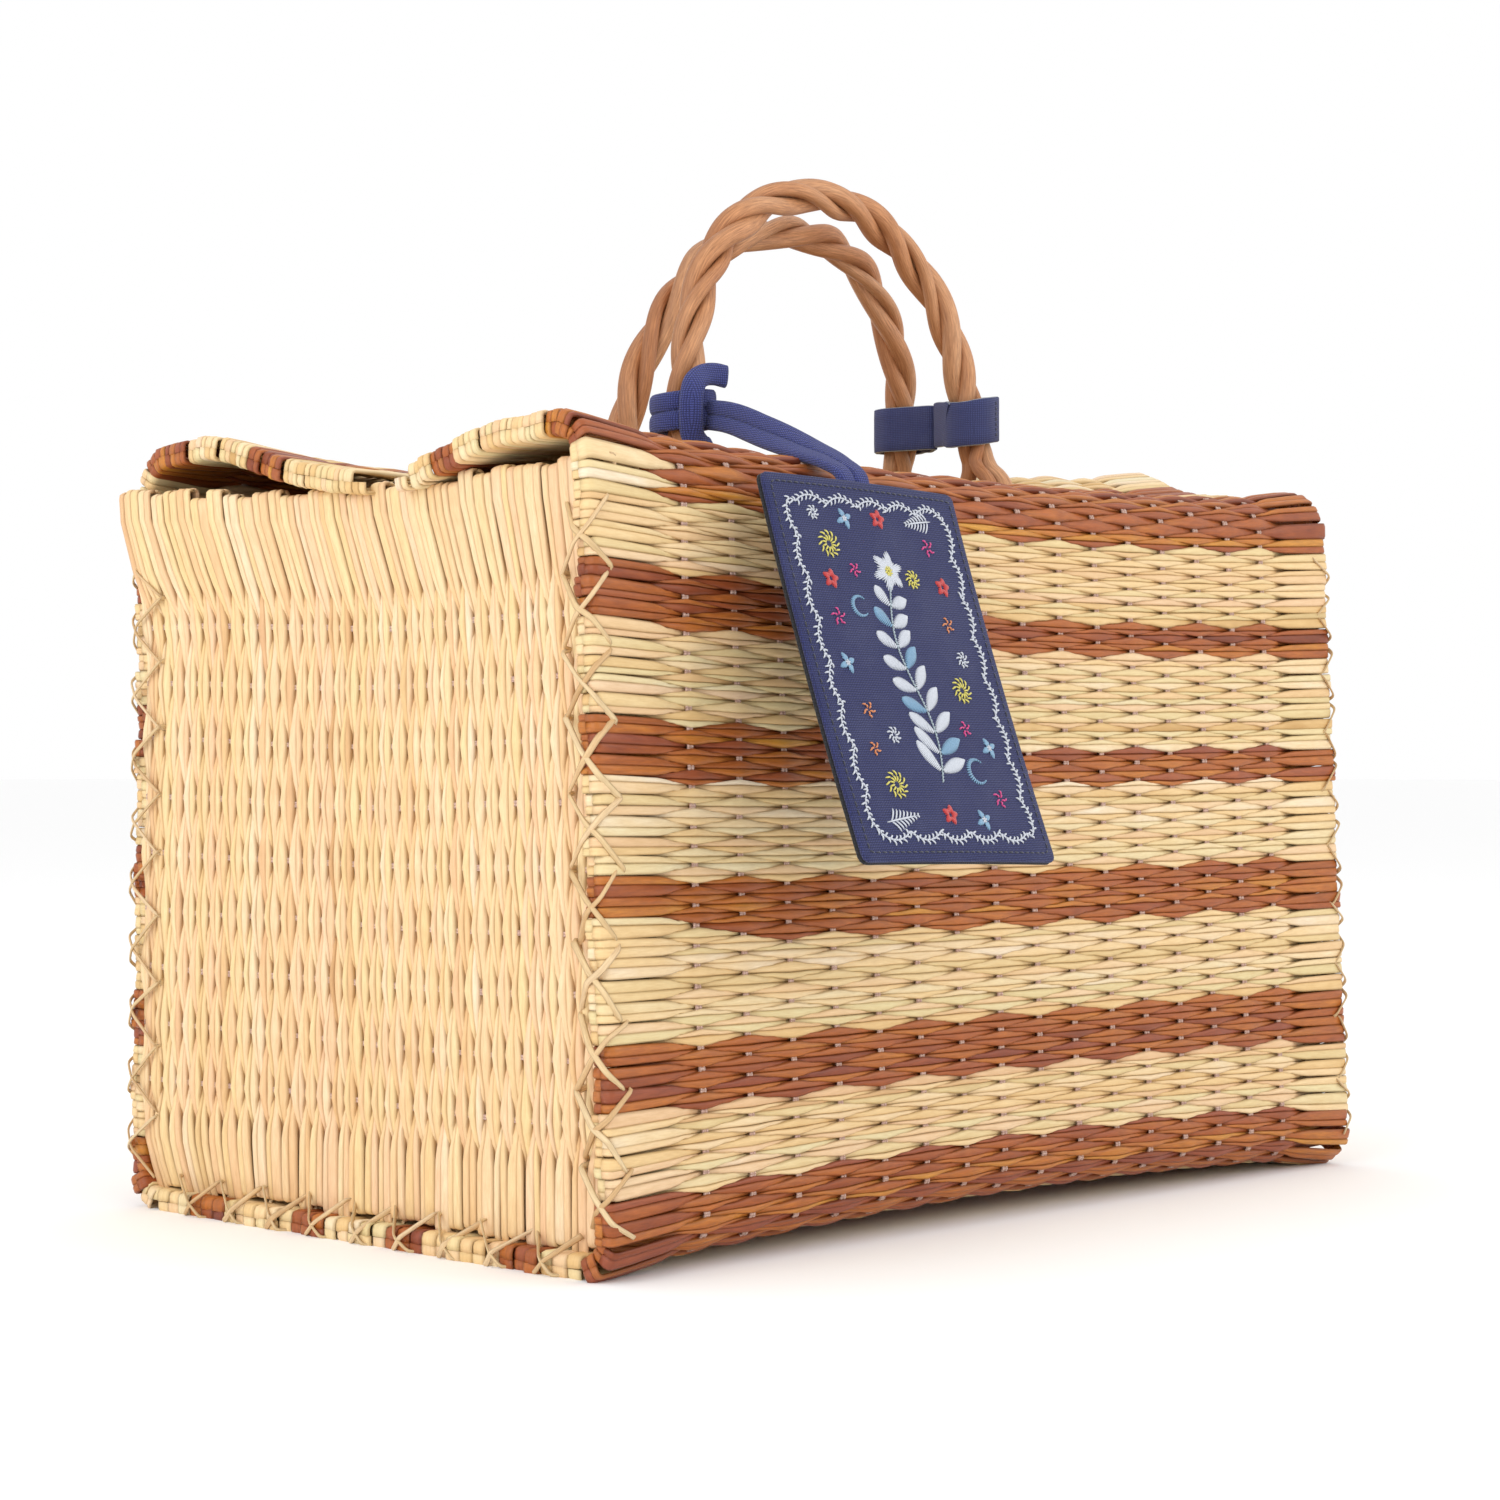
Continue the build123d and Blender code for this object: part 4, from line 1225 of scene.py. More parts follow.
@dataclass
class LongMatPieces:
    """The pieces of one long mat: wall, fold and lid, each in natural and brown, and their cords.

    Attributes:
        mat: The mat's shape.
        stripes: (first row, rows) of each brown stripe.
        joins: The rows that change their colour on the way.
        palette: Materials.
        fold_span: Rows on each side of the fold axis that make up the fold piece, which rides on no
            body.
    """

    mat: LongMat
    stripes: list
    joins: list
    palette: Palette
    fold_span: int = 3

    def build(self) -> None:
        """Makes and places the pieces."""
        surface, word = self.mat.surface, self.mat.form.side.word
        weave = Weave(surface, (-HALF_LENGTH, HALF_LENGTH), self.mat.seed)
        low, high = self.mat.fold_row - self.fold_span, self.mat.fold_row + self.fold_span
        for join in self.joins:
            reeds = weave.reeds(np.array([join.row]), per_row=1 if join.wide else 2)
            cut = weave.hidden_station(join.row, join.place)
            halves = (reeds.part(0, cut + 1), reeds.part(cut, reeds.paths.shape[1]))
            dyes = (Dye.BROWN, Dye.NATURAL)
            for half, dye in zip(halves, dyes if join.left is Dye.BROWN else dyes[::-1]):
                piece = half.build(f"{word}_joined_{dye.word}_reed_{join.row}")
                settle(piece, self.palette.reed(dye.value), f"{dye.word}_reed", "basket")
        for part, first, last in (("wall", 0, low), ("fold", low, high), ("lid", high, surface.rows)):
            name = f"{word}_{part}"
            body = {"wall": "basket", "lid": name}.get(part)
            made = []
            for dye in Dye:
                rows = dyed_rows(surface.rows, self.stripes, dye, first, last)
                rows = np.setdiff1d(rows, [join.row for join in self.joins])
                if len(rows):
                    piece = weave.reeds(rows).build(f"{name}_{dye.word}_reeds")
                    nodes = [f"{name}_{dye.word}"] if body else []
                    settle(piece, self.palette.reed(dye.value), f"{dye.word}_reed", body, *nodes)
                    made.append(piece)
            cords = weave.warps(first, last).build(f"{name}_cords")
            settle(cords, self.palette.cloth(COTTON), None, body)
            if not body:
                for piece in (*made, cords):
                    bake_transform(piece)


@dataclass
class Bottom:
    """The mat between the walls' feet, with four brown stripes."""

    palette: Palette
    seed: int = 31
    step: float = 10.0
    half_stripe: float = 8.5
    stripe_middles: tuple = (-77.0, -25.7, 25.7, 77.0)

    def build(self) -> None:
        """Makes and places the reeds and the cords."""
        rng = np.random.default_rng(self.seed)
        edge = HALF_DEPTH - HALF_MAT - CORNER_RADIUS
        shares = row_borders(rng, 2 * edge)
        places = np.arange(-HALF_LENGTH, HALF_LENGTH + 0.1, self.step)
        x, y = np.meshgrid(places, -edge + 2 * edge * shares, indexing="ij")
        points = np.stack([x, y, HALF_MAT + base_arch(x, y, np.zeros_like(x))], axis=-1)
        mat = MatField(-HALF_LENGTH, self.step, points, (0.0, 0.0, -1.0))
        firsts = [nearest(y[0], middle - self.half_stripe) for middle in self.stripe_middles]
        stripes = [stripe(first, first + STRIPE_ROWS) for first in firsts]
        weave = Weave(mat, (-HALF_LENGTH, HALF_LENGTH), self.seed, steps=4)
        for dye in Dye:
            rows = dyed_rows(mat.rows, stripes, dye)
            piece = weave.reeds(rows, per_row=1).build(f"bottom_{dye.word}_reeds")
            material = self.palette.reed(dye.value)
            settle(piece, material, f"{dye.word}_reed", "basket", f"bottom_{dye.word}")
        cords = weave.warps(0, mat.rows).build("bottom_cords")
        settle(cords, self.palette.cloth(COTTON), None, "basket")


class End(Enum):
    """The two ends of the basket; the value is the sign of X."""

    LEFT = -1
    RIGHT = 1

    @property
    def word(self) -> str:
        """The end's name as the pieces' names have it."""
        return self.name.lower()


def panel_bulge(y: Array, z: Array) -> Array:
    """How far an end panel stands out at the back wall's edge: 8 mm, and 4.5 mm more at the top."""
    return (8.0 * smooth(z / 30.0) + 4.5 * smooth((z - 196.0) / 46.0)) * smooth((y - 20.0) / 88.0)


@dataclass
class EndPanel:
    """One end panel: upright reeds on level cords, whose tops slant back below the lids.

    Attributes:
        end: Which end.
        palette: Materials.
        seed: Seed of the reeds.
        foot: Height of the reeds' lower ends.
        length: Length of the reeds.
        inset: Distance of the panel's middle surface from the mats' ends.
        pitch: Width of a row, and the share it varies by.
        slant: How far the tops lean back halfway between the walls.
        lap: How far they lean back at the back wall.
        tops: (share of the way from the front wall to the back one, height of the reeds' tops).
    """

    end: End
    palette: Palette
    seed: int
    foot: float = 7.5
    length: float = 232.0
    step: float = 8.0
    inset: float = 8.0
    gap: float = 1.2
    pitch: tuple[float, float] = (3.45, 0.26)
    slant: float = 13.0
    lap: float = 9.5
    tops: tuple = ((0.0, 239.0), (0.42, 236.3), (1.0, 240.8))

    def _surface(self) -> MatField:
        """The panel's middle surface, between the walls' inner faces."""
        rng = np.random.default_rng(self.seed)
        shares = row_borders(rng, BACK_FORM.inside_y(0.0) - FRONT_FORM.inside_y(0.0), *self.pitch)
        places = np.arange(0.0, self.length + 0.1, self.step)
        up, share = np.meshgrid(places / self.length, shares, indexing="ij")
        tops = np.array(self.tops)
        z = self.foot + up * (glide(share, tops[:, 0], tops[:, 1:])[..., 0] - self.foot)
        low_y, high_y = FRONT_FORM.inside_y(z), BACK_FORM.inside_y(z)
        between = np.sin(np.pi * np.clip(share, 0, 1))
        lean = self.slant * smooth((z - 192.0) / 45.0) * between**0.8
        lap = self.lap * smooth((z - 190.0) / 40.0) * smooth((share - 0.7) / 0.3)
        y = low_y + self.gap + share * (high_y - low_y - 2 * self.gap) + lean + lap
        belly = 1.2 * np.sin(np.pi * share) * np.sin(np.pi * up)
        x = self.end.value * (HALF_LENGTH - self.inset + belly + panel_bulge(y, z))
        return MatField(0.0, self.step, np.stack([x, y, z], axis=-1), (self.end.value, 0.0, 0.0))

    def build(self) -> None:
        """Makes and places the reeds and the cords."""
        mat = self._surface()
        cords = {"first_cord": 36.5, "cord_pitch": 18.9, "cords": 9}
        look = {"swing": 0.8, "edge_swing": 2.3, "lens": 0.85, "ragged": 1.8}
        weave = Weave(mat, (0.0, self.length), self.seed, **cords, **look)
        word = self.end.word
        piece = weave.reeds(np.arange(mat.rows)).build(f"{word}_end_reeds")
        settle(piece, self.palette.reed(PANEL), "natural_reed", "basket", f"{word}_end_panel")
        threads = weave.warps(0, mat.rows, 0.9).build(f"{word}_end_cords")
        settle(threads, self.palette.cloth(COTTON), None, "basket")


class BasketBody:
    """Walls, lids, bottom and end panels."""

    def __init__(self, palette: Palette):
        self.palette = palette
        self.front = LongMat(FRONT_FORM, 11)
        self.back = LongMat(BACK_FORM, 23)

    def front_stripes(self) -> list[tuple[int, int]]:
        """First row and rows of the front mat's stripes."""
        mat = self.front
        firsts = [mat.row_at(z) + 1 for z in (50.0, 95.5, 143.0, 183.5)]
        fold = stripe(mat.row_at(226.5), mat.lid_row_at(-86.0))
        lid = stripe(mat.lid_row_at(-47.0), mat.lid_row_at(-35.0))
        return [(0, 8), *(stripe(first, first + STRIPE_ROWS) for first in firsts), fold, lid]

    def front_joins(self) -> list[Join]:
        """Rows of the front mat whose colour changes along the basket."""
        third, fourth, fifth, fold = (first for first, _ in self.front_stripes()[2:6])
        pairs = (
            Join(fifth + 4, -62.0, Dye.BROWN),
            Join(fourth + 4, -80.0, Dye.BROWN),
            Join(third, -145.0, Dye.NATURAL),
            Join(fold, -150.0, Dye.NATURAL),
            Join(fold + 2, -158.0, Dye.NATURAL, wide=True),
        )
        return [replace(join, row=join.row + second) for join in pairs for second in (0, 1)]

    def back_stripes(self) -> list[tuple[int, int]]:
        """First row and rows of the back mat's stripes."""
        mat = self.back
        firsts = [mat.row_at(middle - 8.5) for middle in (16.0, 66.0, 110.0, 161.0, 212.0)]
        fold = stripe(mat.fold_row, mat.lid_row_at(89.0))
        lid = stripe(mat.lid_row_at(53.0), mat.lid_row_at(31.0))
        return [*(stripe(first, first + STRIPE_ROWS) for first in firsts), fold, lid]

    def build(self) -> None:
        """Makes every woven piece."""
        LongMatPieces(self.front, self.front_stripes(), self.front_joins(), self.palette).build()
        LongMatPieces(self.back, self.back_stripes(), [], self.palette).build()
        Bottom(self.palette).build()
        EndPanel(End.LEFT, self.palette, 41).build()
        EndPanel(End.RIGHT, self.palette, 43).build()


# ------------------------------------------------------------------ lacing


class Corner(Enum):
    """The edges along which the lacing ties an end panel to the mat."""

    FRONT = "front"
    BACK = "back"
    BOTTOM = "bottom"


@dataclass
class Lacing:
    """Two split strips that cross over one edge of the mat, from the end panel to the wall or bottom.

    Attributes:
        end: Which end.
        corner: Which edge.
        palette: Materials.
        pitch: Distance between the crossings.
        panel_reach: How far from the corner the strips enter the panel.
        samples: Stations of a strip.
        half_width: Half the width of a strip.
        half_depth: Half its thickness.
    """

    end: End
    corner: Corner
    palette: Palette
    pitch: float = 21.5
    panel_reach: float = 11.0
    samples: int = 560
    half_width: float = 0.85
    half_depth: float = 0.42

    # What a strip passes: its distance from the basket's middle and from the mat's middle surface.
    SPOTS = {
        "panel_out": (185.9, 0.0),
        "panel_in": (178.6, 0.0),
        "edge": (192.3, -1.5),
        "rim": (191.4, 4.4),
        "mat_out": (184.5, 4.4),
        "mat_in": (184.0, -3.9),
    }
    BACK_SPOTS = {"panel_out": (193.0, 0.0), "edge": (194.0, -1.5)}
    BOTTOM_LEVELS = {
        "panel_out": 12.5, "panel_in": 12.5, "edge": 4.6, "rim": 0.3, "mat_out": 0.2, "mat_in": 6.9
    }
    # The spots in a strip's order, and the share of the pitch at which each of them comes.
    FROM_PANEL = {
        "panel_out": 0.0, "edge": 0.45, "rim": 0.66, "mat_out": 1.0, "mat_in": 1.0, "panel_in": 1.0
    }
    FROM_MAT = {
        "mat_out": 0.0, "rim": 0.34, "edge": 0.55, "panel_out": 1.0, "panel_in": 1.0, "mat_in": 1.0
    }

    def _spot(self, kind: str, run: float) -> tuple[float, float, float]:
        """A point of a strip's path at a run along the edge, on one of the four faces."""
        x, lift = self.SPOTS[kind]
        if self.corner is Corner.BOTTOM:
            if kind.startswith("panel"):
                x += float(panel_bulge(run, self.BOTTOM_LEVELS[kind]))
            return x * self.end.value, run, self.BOTTOM_LEVELS[kind]
        form = FRONT_FORM
        if self.corner is Corner.BACK:
            form = BACK_FORM
            x, lift = self.BACK_SPOTS.get(kind, (x, lift))
        if kind.startswith("panel"):
            lift = -HALF_MAT - self.panel_reach
        return x * self.end.value, form.side.value * (form.middle_y(run) + lift), run

    def _route(self, start: float, stop: float, order: dict) -> Array:
        """One strip: a slant outside through the spots in their order, then level through the inside."""
        points = []
        run = start
        while run + self.pitch <= stop + 0.1:
            points += [self._spot(kind, run + self.pitch * share) for kind, share in order.items()]
            run += self.pitch
        return np.array(points)

    def _bent(self, route: Array) -> Array:
        """Even samples of a route of straight runs whose corners are rounded by a short average."""
        path = resample(route, self.samples)
        for _ in range(2):
            path[1:-1] = 0.25 * path[:-2] + 0.5 * path[1:-1] + 0.25 * path[2:]
        return path

    def build(self) -> None:
        """Makes and places both strips."""
        end, corner = self.end.value, self.corner
        rng = np.random.default_rng(500 + 7 * end + 31 * len(corner.value))
        start, stop, spread = 12.0, 227.0, (0.3, 0.3, 1.6)
        if corner is Corner.BOTTOM:
            start, stop, spread = -100.0, 100.0, (0.3, 1.0, 0.2)
        paths = []
        for order in (self.FROM_PANEL, self.FROM_MAT):
            route = self._route(start, stop, order)
            route = route + rng.uniform(-1.0, 1.0, route.shape) * spread
            inward = np.abs(route[:, 0]) < 186.0
            route[:, 0] -= end * inward * rng.uniform(-1.5, 3.5, len(route))
            paths.append(self._bent(route))
        paths = np.array(paths)
        away = {Corner.FRONT: (-0.6, 0.0), Corner.BACK: (0.6, 0.0), Corner.BOTTOM: (0.0, -0.6)}[corner]
        across, outward = frames_along(paths, np.array([0.8 * end, *away]))
        places = np.arange(float(self.samples))
        width = self.half_width * (1.0 + soft_noise(rng, 2, places, 18.0) * 0.3)
        tone = np.clip(0.55 + soft_noise(rng, 2, places, 60.0) * 0.4, 0, 1)
        strips = Strands(paths, across, outward, width, self.half_depth, FLAT_STRIP, tone)
        name = f"{self.end.word}_{corner.value}_lacing"
        settle(strips.build(f"{name}_strips"), self.palette.reed(LACING), "lacing_strip", "basket", name)


# ------------------------------------------------------------------ handles


@dataclass(frozen=True)
class ArchForm:
    """Middle line of a handle: a superellipse that leans with its height.

    x = middle + half width x sgn(cos a) |cos a|^(2/n), rise = height x sin(a)^(2/n),
    y = foot y + lean x rise.
    """

    side: Side
    middle_x: float
    half_width: float
    height: float
    foot_y: float
    lean: float
    twist_turns: float
    foot_z: float = 245.74
    roundness: float = 2.24
    fork_height: float = 15.0

    def _point(self, across: Array, rise: Array) -> Array:
        """Points at shares of the half width and at rises above the feet."""
        x = self.middle_x + self.half_width * across
        return np.stack([x, self.foot_y + self.lean * rise, self.foot_z + rise], axis=-1)

    def at(self, angle: Array) -> Array:
        """Points at angles from pi (left foot) to 0 (right foot)."""
        power = 2.0 / self.roundness
        rise = self.height * np.maximum(np.sin(angle), 0.0) ** power
        return self._point(signed_power(np.cos(angle), power), rise)

    def leg(self, side: int, rise: float) -> Array:
        """Point of the left (-1) or right (1) leg at a rise above the foot."""
        across = (1.0 - (rise / self.height) ** self.roundness) ** (1.0 / self.roundness)
        return self._point(side * across, rise)


FRONT_ARCH = ArchForm(Side.FRONT, -2.0, 76.5, 103.0, -35.5, 0.09, 4.0)
BACK_ARCH = ArchForm(Side.BACK, 8.0, 73.25, 95.0, 12.0, -0.18, 3.3)


@dataclass
class Handle:
    """One handle: three willow rods twisted together, that fork at the feet and enter the lid.

    Attributes:
        form: The arch.
        palette: Materials.
        rod_radii: Radius of each rod.
        rope_offset: Distance of each rod's middle line from the arch's.
        holes: Each rod's hole, as (distance outward along the basket, distance to its wall) from a foot.
        hole_level: Height at which the rods enter the mat.
        clearance: Height above the holes up to which the rods stand straight.
        tail: A rod's bent end, as points (run from the hole, rise over its level).
        samples: Stations along the arch.
    """

    form: ArchForm
    palette: Palette
    rod_radii: tuple = (3.25, 3.35, 2.5)
    rope_offset: float = 3.3
    holes: tuple = ((0.0, -7.0), (3.6, 8.0), (-3.6, 8.0))
    hole_level: float = 246.5
    clearance: float = 4.5
    tail: tuple = ((14.0, -10.5), (5.0, -9.5), (0.0, -5.5), (0.0, 0.0))
    samples: int = 260

    def _hole(self, side: int, rod: int) -> tuple[float, float]:
        """(x, y) of a rod's hole at the left (-1) or right (1) foot."""
        apart, out = self.holes[rod]
        foot_x = self.form.middle_x + side * self.form.half_width
        return foot_x + side * apart, self.form.foot_y + self.form.side.value * out

    def _end(self, side: int, rod: int) -> Array:
        """A rod's end at one foot, from the tip of its tail up to its hole."""
        x, y = self._hole(side, rod)
        way_x, way_y = (0.0, self.form.side.value) if rod else (side, 0.0)
        run, rise = np.array(self.tail).T
        return np.column_stack([x + way_x * run, y + way_y * run, self.hole_level + rise])

    def _rod(self, rod: int) -> Array:
        """Path of a rod: up out of its hole, round the arch in a helix, and down into the other hole."""
        form, count = self.form, self.samples
        out = form.side.value
        spots = curve_through(form.at(np.linspace(np.pi, 0.0, 90)), count)
        joined_z = form.foot_z + form.fork_height
        first = int(np.argmax(spots[:, 2] >= joined_z))
        share = np.clip((np.arange(count) - first) / (count - 1 - 2 * first), 0.0, 1.0)
        phase = 2.0 * np.pi * (form.twist_turns * share + rod / 3.0)
        phase = phase + 0.22 * np.sin(3.1 * share * 2.0 * np.pi + rod) * np.sin(np.pi * share)
        normal = unit(np.array([0.0, -out, out * form.lean]))
        binormal = np.cross(unit(np.gradient(spots, axis=0)), normal)
        offset = normal * np.cos(phase)[:, None] - binormal * (out * np.sin(phase))[:, None]
        rope = spots + offset * self.rope_offset
        holes = np.repeat([self._hole(-1, rod), self._hole(1, rod)], count // 2, axis=0)
        straight = np.column_stack([holes, spots[:, 2]])
        clear_z = self.hole_level + self.clearance
        joined = smooth((spots[:, 2] - clear_z) / (joined_z - clear_z))[:, None]
        path = rope * joined + straight * (1.0 - joined)
        path = path[path[:, 2] > clear_z]
        route = np.concatenate([self._end(-1, rod), path[::3], self._end(1, rod)[::-1]])
        return curve_through(route, count + 60)

    def build(self) -> None:
        """Makes and places the three rods."""
        word = self.form.side.word
        for rod, radius in enumerate(self.rod_radii):
            rng = np.random.default_rng(900 + rod + 10 * self.form.side.value)
            path = self._rod(rod)[None]
            across, outward = frames_along(path, np.array([0.0, -1.0, 0.13]))
            length = run_length(path[0])
            size = radius * (1.0 + 0.04 * soft_noise(rng, 1, length, 14.0))
            size = size * (1.0 + 0.09 * soft_noise(rng, 1, length, 50.0))
            tone = np.clip(rng.uniform(0.35, 0.65) + 0.3 * soft_noise(rng, 1, length, 35.0), 0.0, 1.0)
            rods = Strands(path, across, outward, size, size * rng.uniform(0.9, 1.0), ring(18), tone)
            piece = rods.build(f"{word}_handle_willow_rod_{rod + 1}")
            node = f"{word}_handle_rod_{rod + 1}"
            settle(piece, self.palette.reed(WILLOW), "willow", f"{word}_lid", node)


# ------------------------------------------------------------------ canvas band


NAVY_THREAD = (0.012, 0.016, 0.045)
STITCH_ARCH = np.array([-0.6, 0.72, 1.0, 0.72, -0.6])[:, None]
STITCH_SIZE = np.array([0.6, 1.0, 1.05, 1.0, 0.6])


def stitches(
    name: str, start: Array, end: Array, outward: Array, radius: float, rise: float
) -> bpy.types.Object:
    """Thread stitches from start to end points, each arched out of the cloth.

    Args:
        name: Name of the piece.
        start: (n, 3) points at which the thread comes out.
        end: (n, 3) points at which it goes in.
        outward: The cloth's outward normal.
        radius: Radius of the thread.
        rise: Height of the arch.
    """
    share = np.linspace(0.0, 1.0, len(STITCH_ARCH))[:, None]
    paths = start[:, None] + (end - start)[:, None] * share + STITCH_ARCH * rise * outward
    size = STITCH_SIZE * radius
    return Strands(paths, *frames_along(paths, outward), size, size * 0.8, ring(6)).build(name)


def heading_gap(points: Array, heading: float) -> Array:
    """Angle in plan between each point, seen from the origin, and a heading."""
    way = np.arctan2(points[:, 1], points[:, 0])
    return np.abs((way - heading + np.pi) % (2 * np.pi) - np.pi)


@dataclass
class Band:
    """Canvas band round the right legs of both handles, twisted into a figure of eight.

    Attributes:
        palette: Materials.
        level: Height of the band's middle above the handles' feet.
        height: Width of the canvas strip, which stands upright.
        thickness: Thickness of the strip.
        inner: Inner radius of a loop.
        tip: Radius of a loop's tip between the legs.
        crossing_gap: Half the gap between the loops where they cross.
    """

    palette: Palette
    level: float = 30.0
    height: float = 16.5
    thickness: float = 2.2
    inner: float = 7.6
    tip: float = 1.6
    crossing_gap: float = 0.35

    def _loop(self, leg: Array, other: Array, corner: float) -> Array:
        """Closed plan line round a leg, drawn in to a tip half way to the other leg.

        Args:
            leg: Middle of the leg.
            other: Middle of the other leg.
            corner: Heading at which the strip's lapped ends stand out, in radians.
        """
        towards = other[:2] - leg[:2]
        big = self.inner + self.thickness / 2
        reach = np.linalg.norm(towards) / 2 - self.crossing_gap - self.tip - self.thickness / 2
        touch = math.acos((big - self.tip) / reach)
        wide = big * polar(np.linspace(touch, 2 * math.pi - touch, 60))
        tip = self.tip * polar(np.linspace(-touch, touch, 14)) + (reach, 0.0)
        plan = turned(np.concatenate([wide, tip]), math.atan2(towards[1], towards[0]))
        plan *= 1.0 + 0.07 * np.exp(-((heading_gap(plan, corner) / 0.3) ** 2))[:, None]
        return resample(looped(plan), 121)[:-1] + leg[:2]

    def build(self) -> None:
        """Makes both loops and their seam stitches."""
        legs = [form.leg(1, self.level) for form in (FRONT_ARCH, BACK_ARCH)]
        loops = (("front", *legs, -0.75, 0.16), ("back", *legs[::-1], 2.4, 0.02))
        for word, leg, other, corner, tilt in loops:
            rng = np.random.default_rng(70 + len(word))
            plan = self._loop(leg, other, corner)
            places = np.arange(float(len(plan)))
            rise = tilt * (plan[:, 0] - leg[0]) + 0.35 * soft_noise(rng, 1, places, 17.0)[0]
            path = np.column_stack([plan, leg[2] + rise])
            tangent = unit(np.roll(path, -1, axis=0) - np.roll(path, 1, axis=0))
            upright = unit(np.array([0.0, 0.0, 1.0]) - tangent * tangent[:, 2:])
            out = np.cross(tangent, upright)
            out *= np.sign(np.sum(out[:, :2] * (plan - leg[:2]), axis=1, keepdims=True))
            half_height = self.height / 2 * (1 + 0.012 * soft_noise(rng, 1, places, 6.0))
            sizes = (half_height, self.thickness / 2)
            strip = Strands(path[None], upright, out, *sizes, SOFT_CLOTH, closed=True)
            piece = strip.build(f"{word}_band_canvas")
            settle(piece, self.palette.cloth(BAND), "canvas", f"{word}_lid", f"{word}_band_loop")
            self._seam(word, path, out, corner, leg)

    def _seam(self, word: str, path: Array, out: Array, corner: float, leg: Array) -> None:
        """A row of upright stitches beside the lapped ends."""
        at = int(np.argmin(heading_gap(path - leg, corner - 0.55)))
        place = path[at] + out[at] * (self.thickness / 2 + 0.05)
        base = place + np.outer(np.arange(-6.2, 6.0, 1.9), (0.0, 0.0, 1.0))
        piece = stitches(f"{word}_band_seam", base, base + (0.0, 0.0, 1.3), out[at], 0.22, 0.2)
        settle(piece, self.palette.thread("navy thread", NAVY_THREAD), "canvas", f"{word}_lid")


# ------------------------------------------------------------------ strap


@dataclass
class Strap:
    """Folded tape strap of two strands: hitched round the front handle's left leg, down to the tag.

    Attributes:
        palette: Materials.
        half_width: Half the width of one strand.
        half_depth: Half its thickness.
        level: Height of the hitch above the handle's feet.
        knot: Middle line of the knot, from the hitch's middle.
        route: Middle line of the strap from the knot to the tag.
        twist: Turn of the strap from upright at each point of the route, in degrees.
        stations: Stations along the strap.
    """

    palette: Palette
    half_width: float = 3.35
    half_depth: float = 1.75
    level: float = 20.8
    knot: tuple = (
        (0.6, -11.8, -12.4),
        (-2.6, -11.9, -12.4),
        (-6.4, -11.4, -9.6),
        (-8.4, -11.9, -1.4),
        (-7.8, -11.7, 4.6),
        (-5.4, -11.0, 9.2),
        (-1.2, -10.8, 11.6),
        (3.0, -11.6, 12.2),
        (7.0, -12.8, 11.6),
    )
    route: tuple = (
        (-77.2, -41.5, 265.6),
        (-78.3, -54.0, 263.6),
        (-81.8, -75.0, 256.8),
        (-85.6, -97.0, 249.0),
        (-88.8, -112.0, 243.6),
        (-90.0, -119.6, 239.2),
        (-90.2, -122.5, 231.5),
    )
    twist: tuple = (4.0, 8.0, 34.0, 66.0, 84.0, 90.0, 90.0)
    stations: int = 110

    def build(self) -> None:
        """Makes hitch, knot and strap."""
        tape = self.palette.cloth(TAPE)
        settle(self._hitch().build("strap_hitch_turns"), tape, "canvas", "front_lid", "strap_hitch")
        settle(self._knot().build("strap_knot"), tape, "canvas", "front_lid")
        strands = self._strands().build("strap_strands")
        settle(strands, tape, "canvas", None, "tag_strap", "tag_strap_end")
        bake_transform(strands)

    def _hitch(self) -> Strands:
        """Two turns of tape side by side round the leg."""
        leg = FRONT_ARCH.leg(-1, self.level)
        count = 64
        angle = np.linspace(0.0, 2 * np.pi, count, endpoint=False)
        radius = (self.half_depth + 7.6) * (1.0 + 0.16 * np.cos(angle + 2.4))
        plan = leg[:2] - (0.6, 0.4) + radius[:, None] * ring(count)
        level = leg[2] + 1.1 * np.cos(angle + 0.6)
        rise = self.half_width - 0.25
        paths = np.array([np.column_stack([plan, level + side * rise]) for side in (-1.0, 1.0)])
        outward = [np.column_stack([ring(count), np.full(count, tilt)]) for tilt in (-0.12, 0.12)]
        up = np.array([0.0, 0.0, 1.0])
        sizes = (self.half_width, self.half_depth)
        return Strands(paths, up, unit(np.array(outward)), *sizes, FOLDED_TAPE, closed=True)

    def _knot(self) -> Strands:
        """Upright bight that holds the strap to the hitch, with both ends curled out."""
        path = curve_through(np.array(self.knot) + FRONT_ARCH.leg(-1, self.level), 60)[None]
        frames = frames_along(path, np.array([-0.8, -0.75, 0.25]))
        return Strands(path, *frames, self.half_width + 0.6, self.half_depth * 1.05, FOLDED_TAPE)

    def _strands(self) -> Strands:
        """The two strands, which turn from upright to flat."""
        route = np.array(self.route)
        middle = curve_through(route, self.stations)
        knots, places = run_length(route), run_length(middle)
        twist = np.radians(glide(places * knots[-1] / places[-1], knots, np.array(self.twist)[:, None]))
        tangent = unit(np.gradient(middle, axis=0))
        level = unit(np.cross(tangent, [0.0, 0.0, 1.0]))
        level *= np.sign(level[:, :1])
        upward = np.cross(level, tangent)
        upward *= np.sign(upward[:, 2:])
        wide = upward * np.cos(twist) + level * np.sin(twist)
        half = (self.half_width - 0.3) * np.linspace(0.76, 1.0, self.stations)
        paths = np.array([middle + side * half[:, None] * wide for side in (-1.0, 1.0)])
        face = np.cross(wide, tangent)
        return Strands(paths, wide, face, half + 0.3, self.half_depth, FOLDED_TAPE)


# ------------------------------------------------------------------ tag


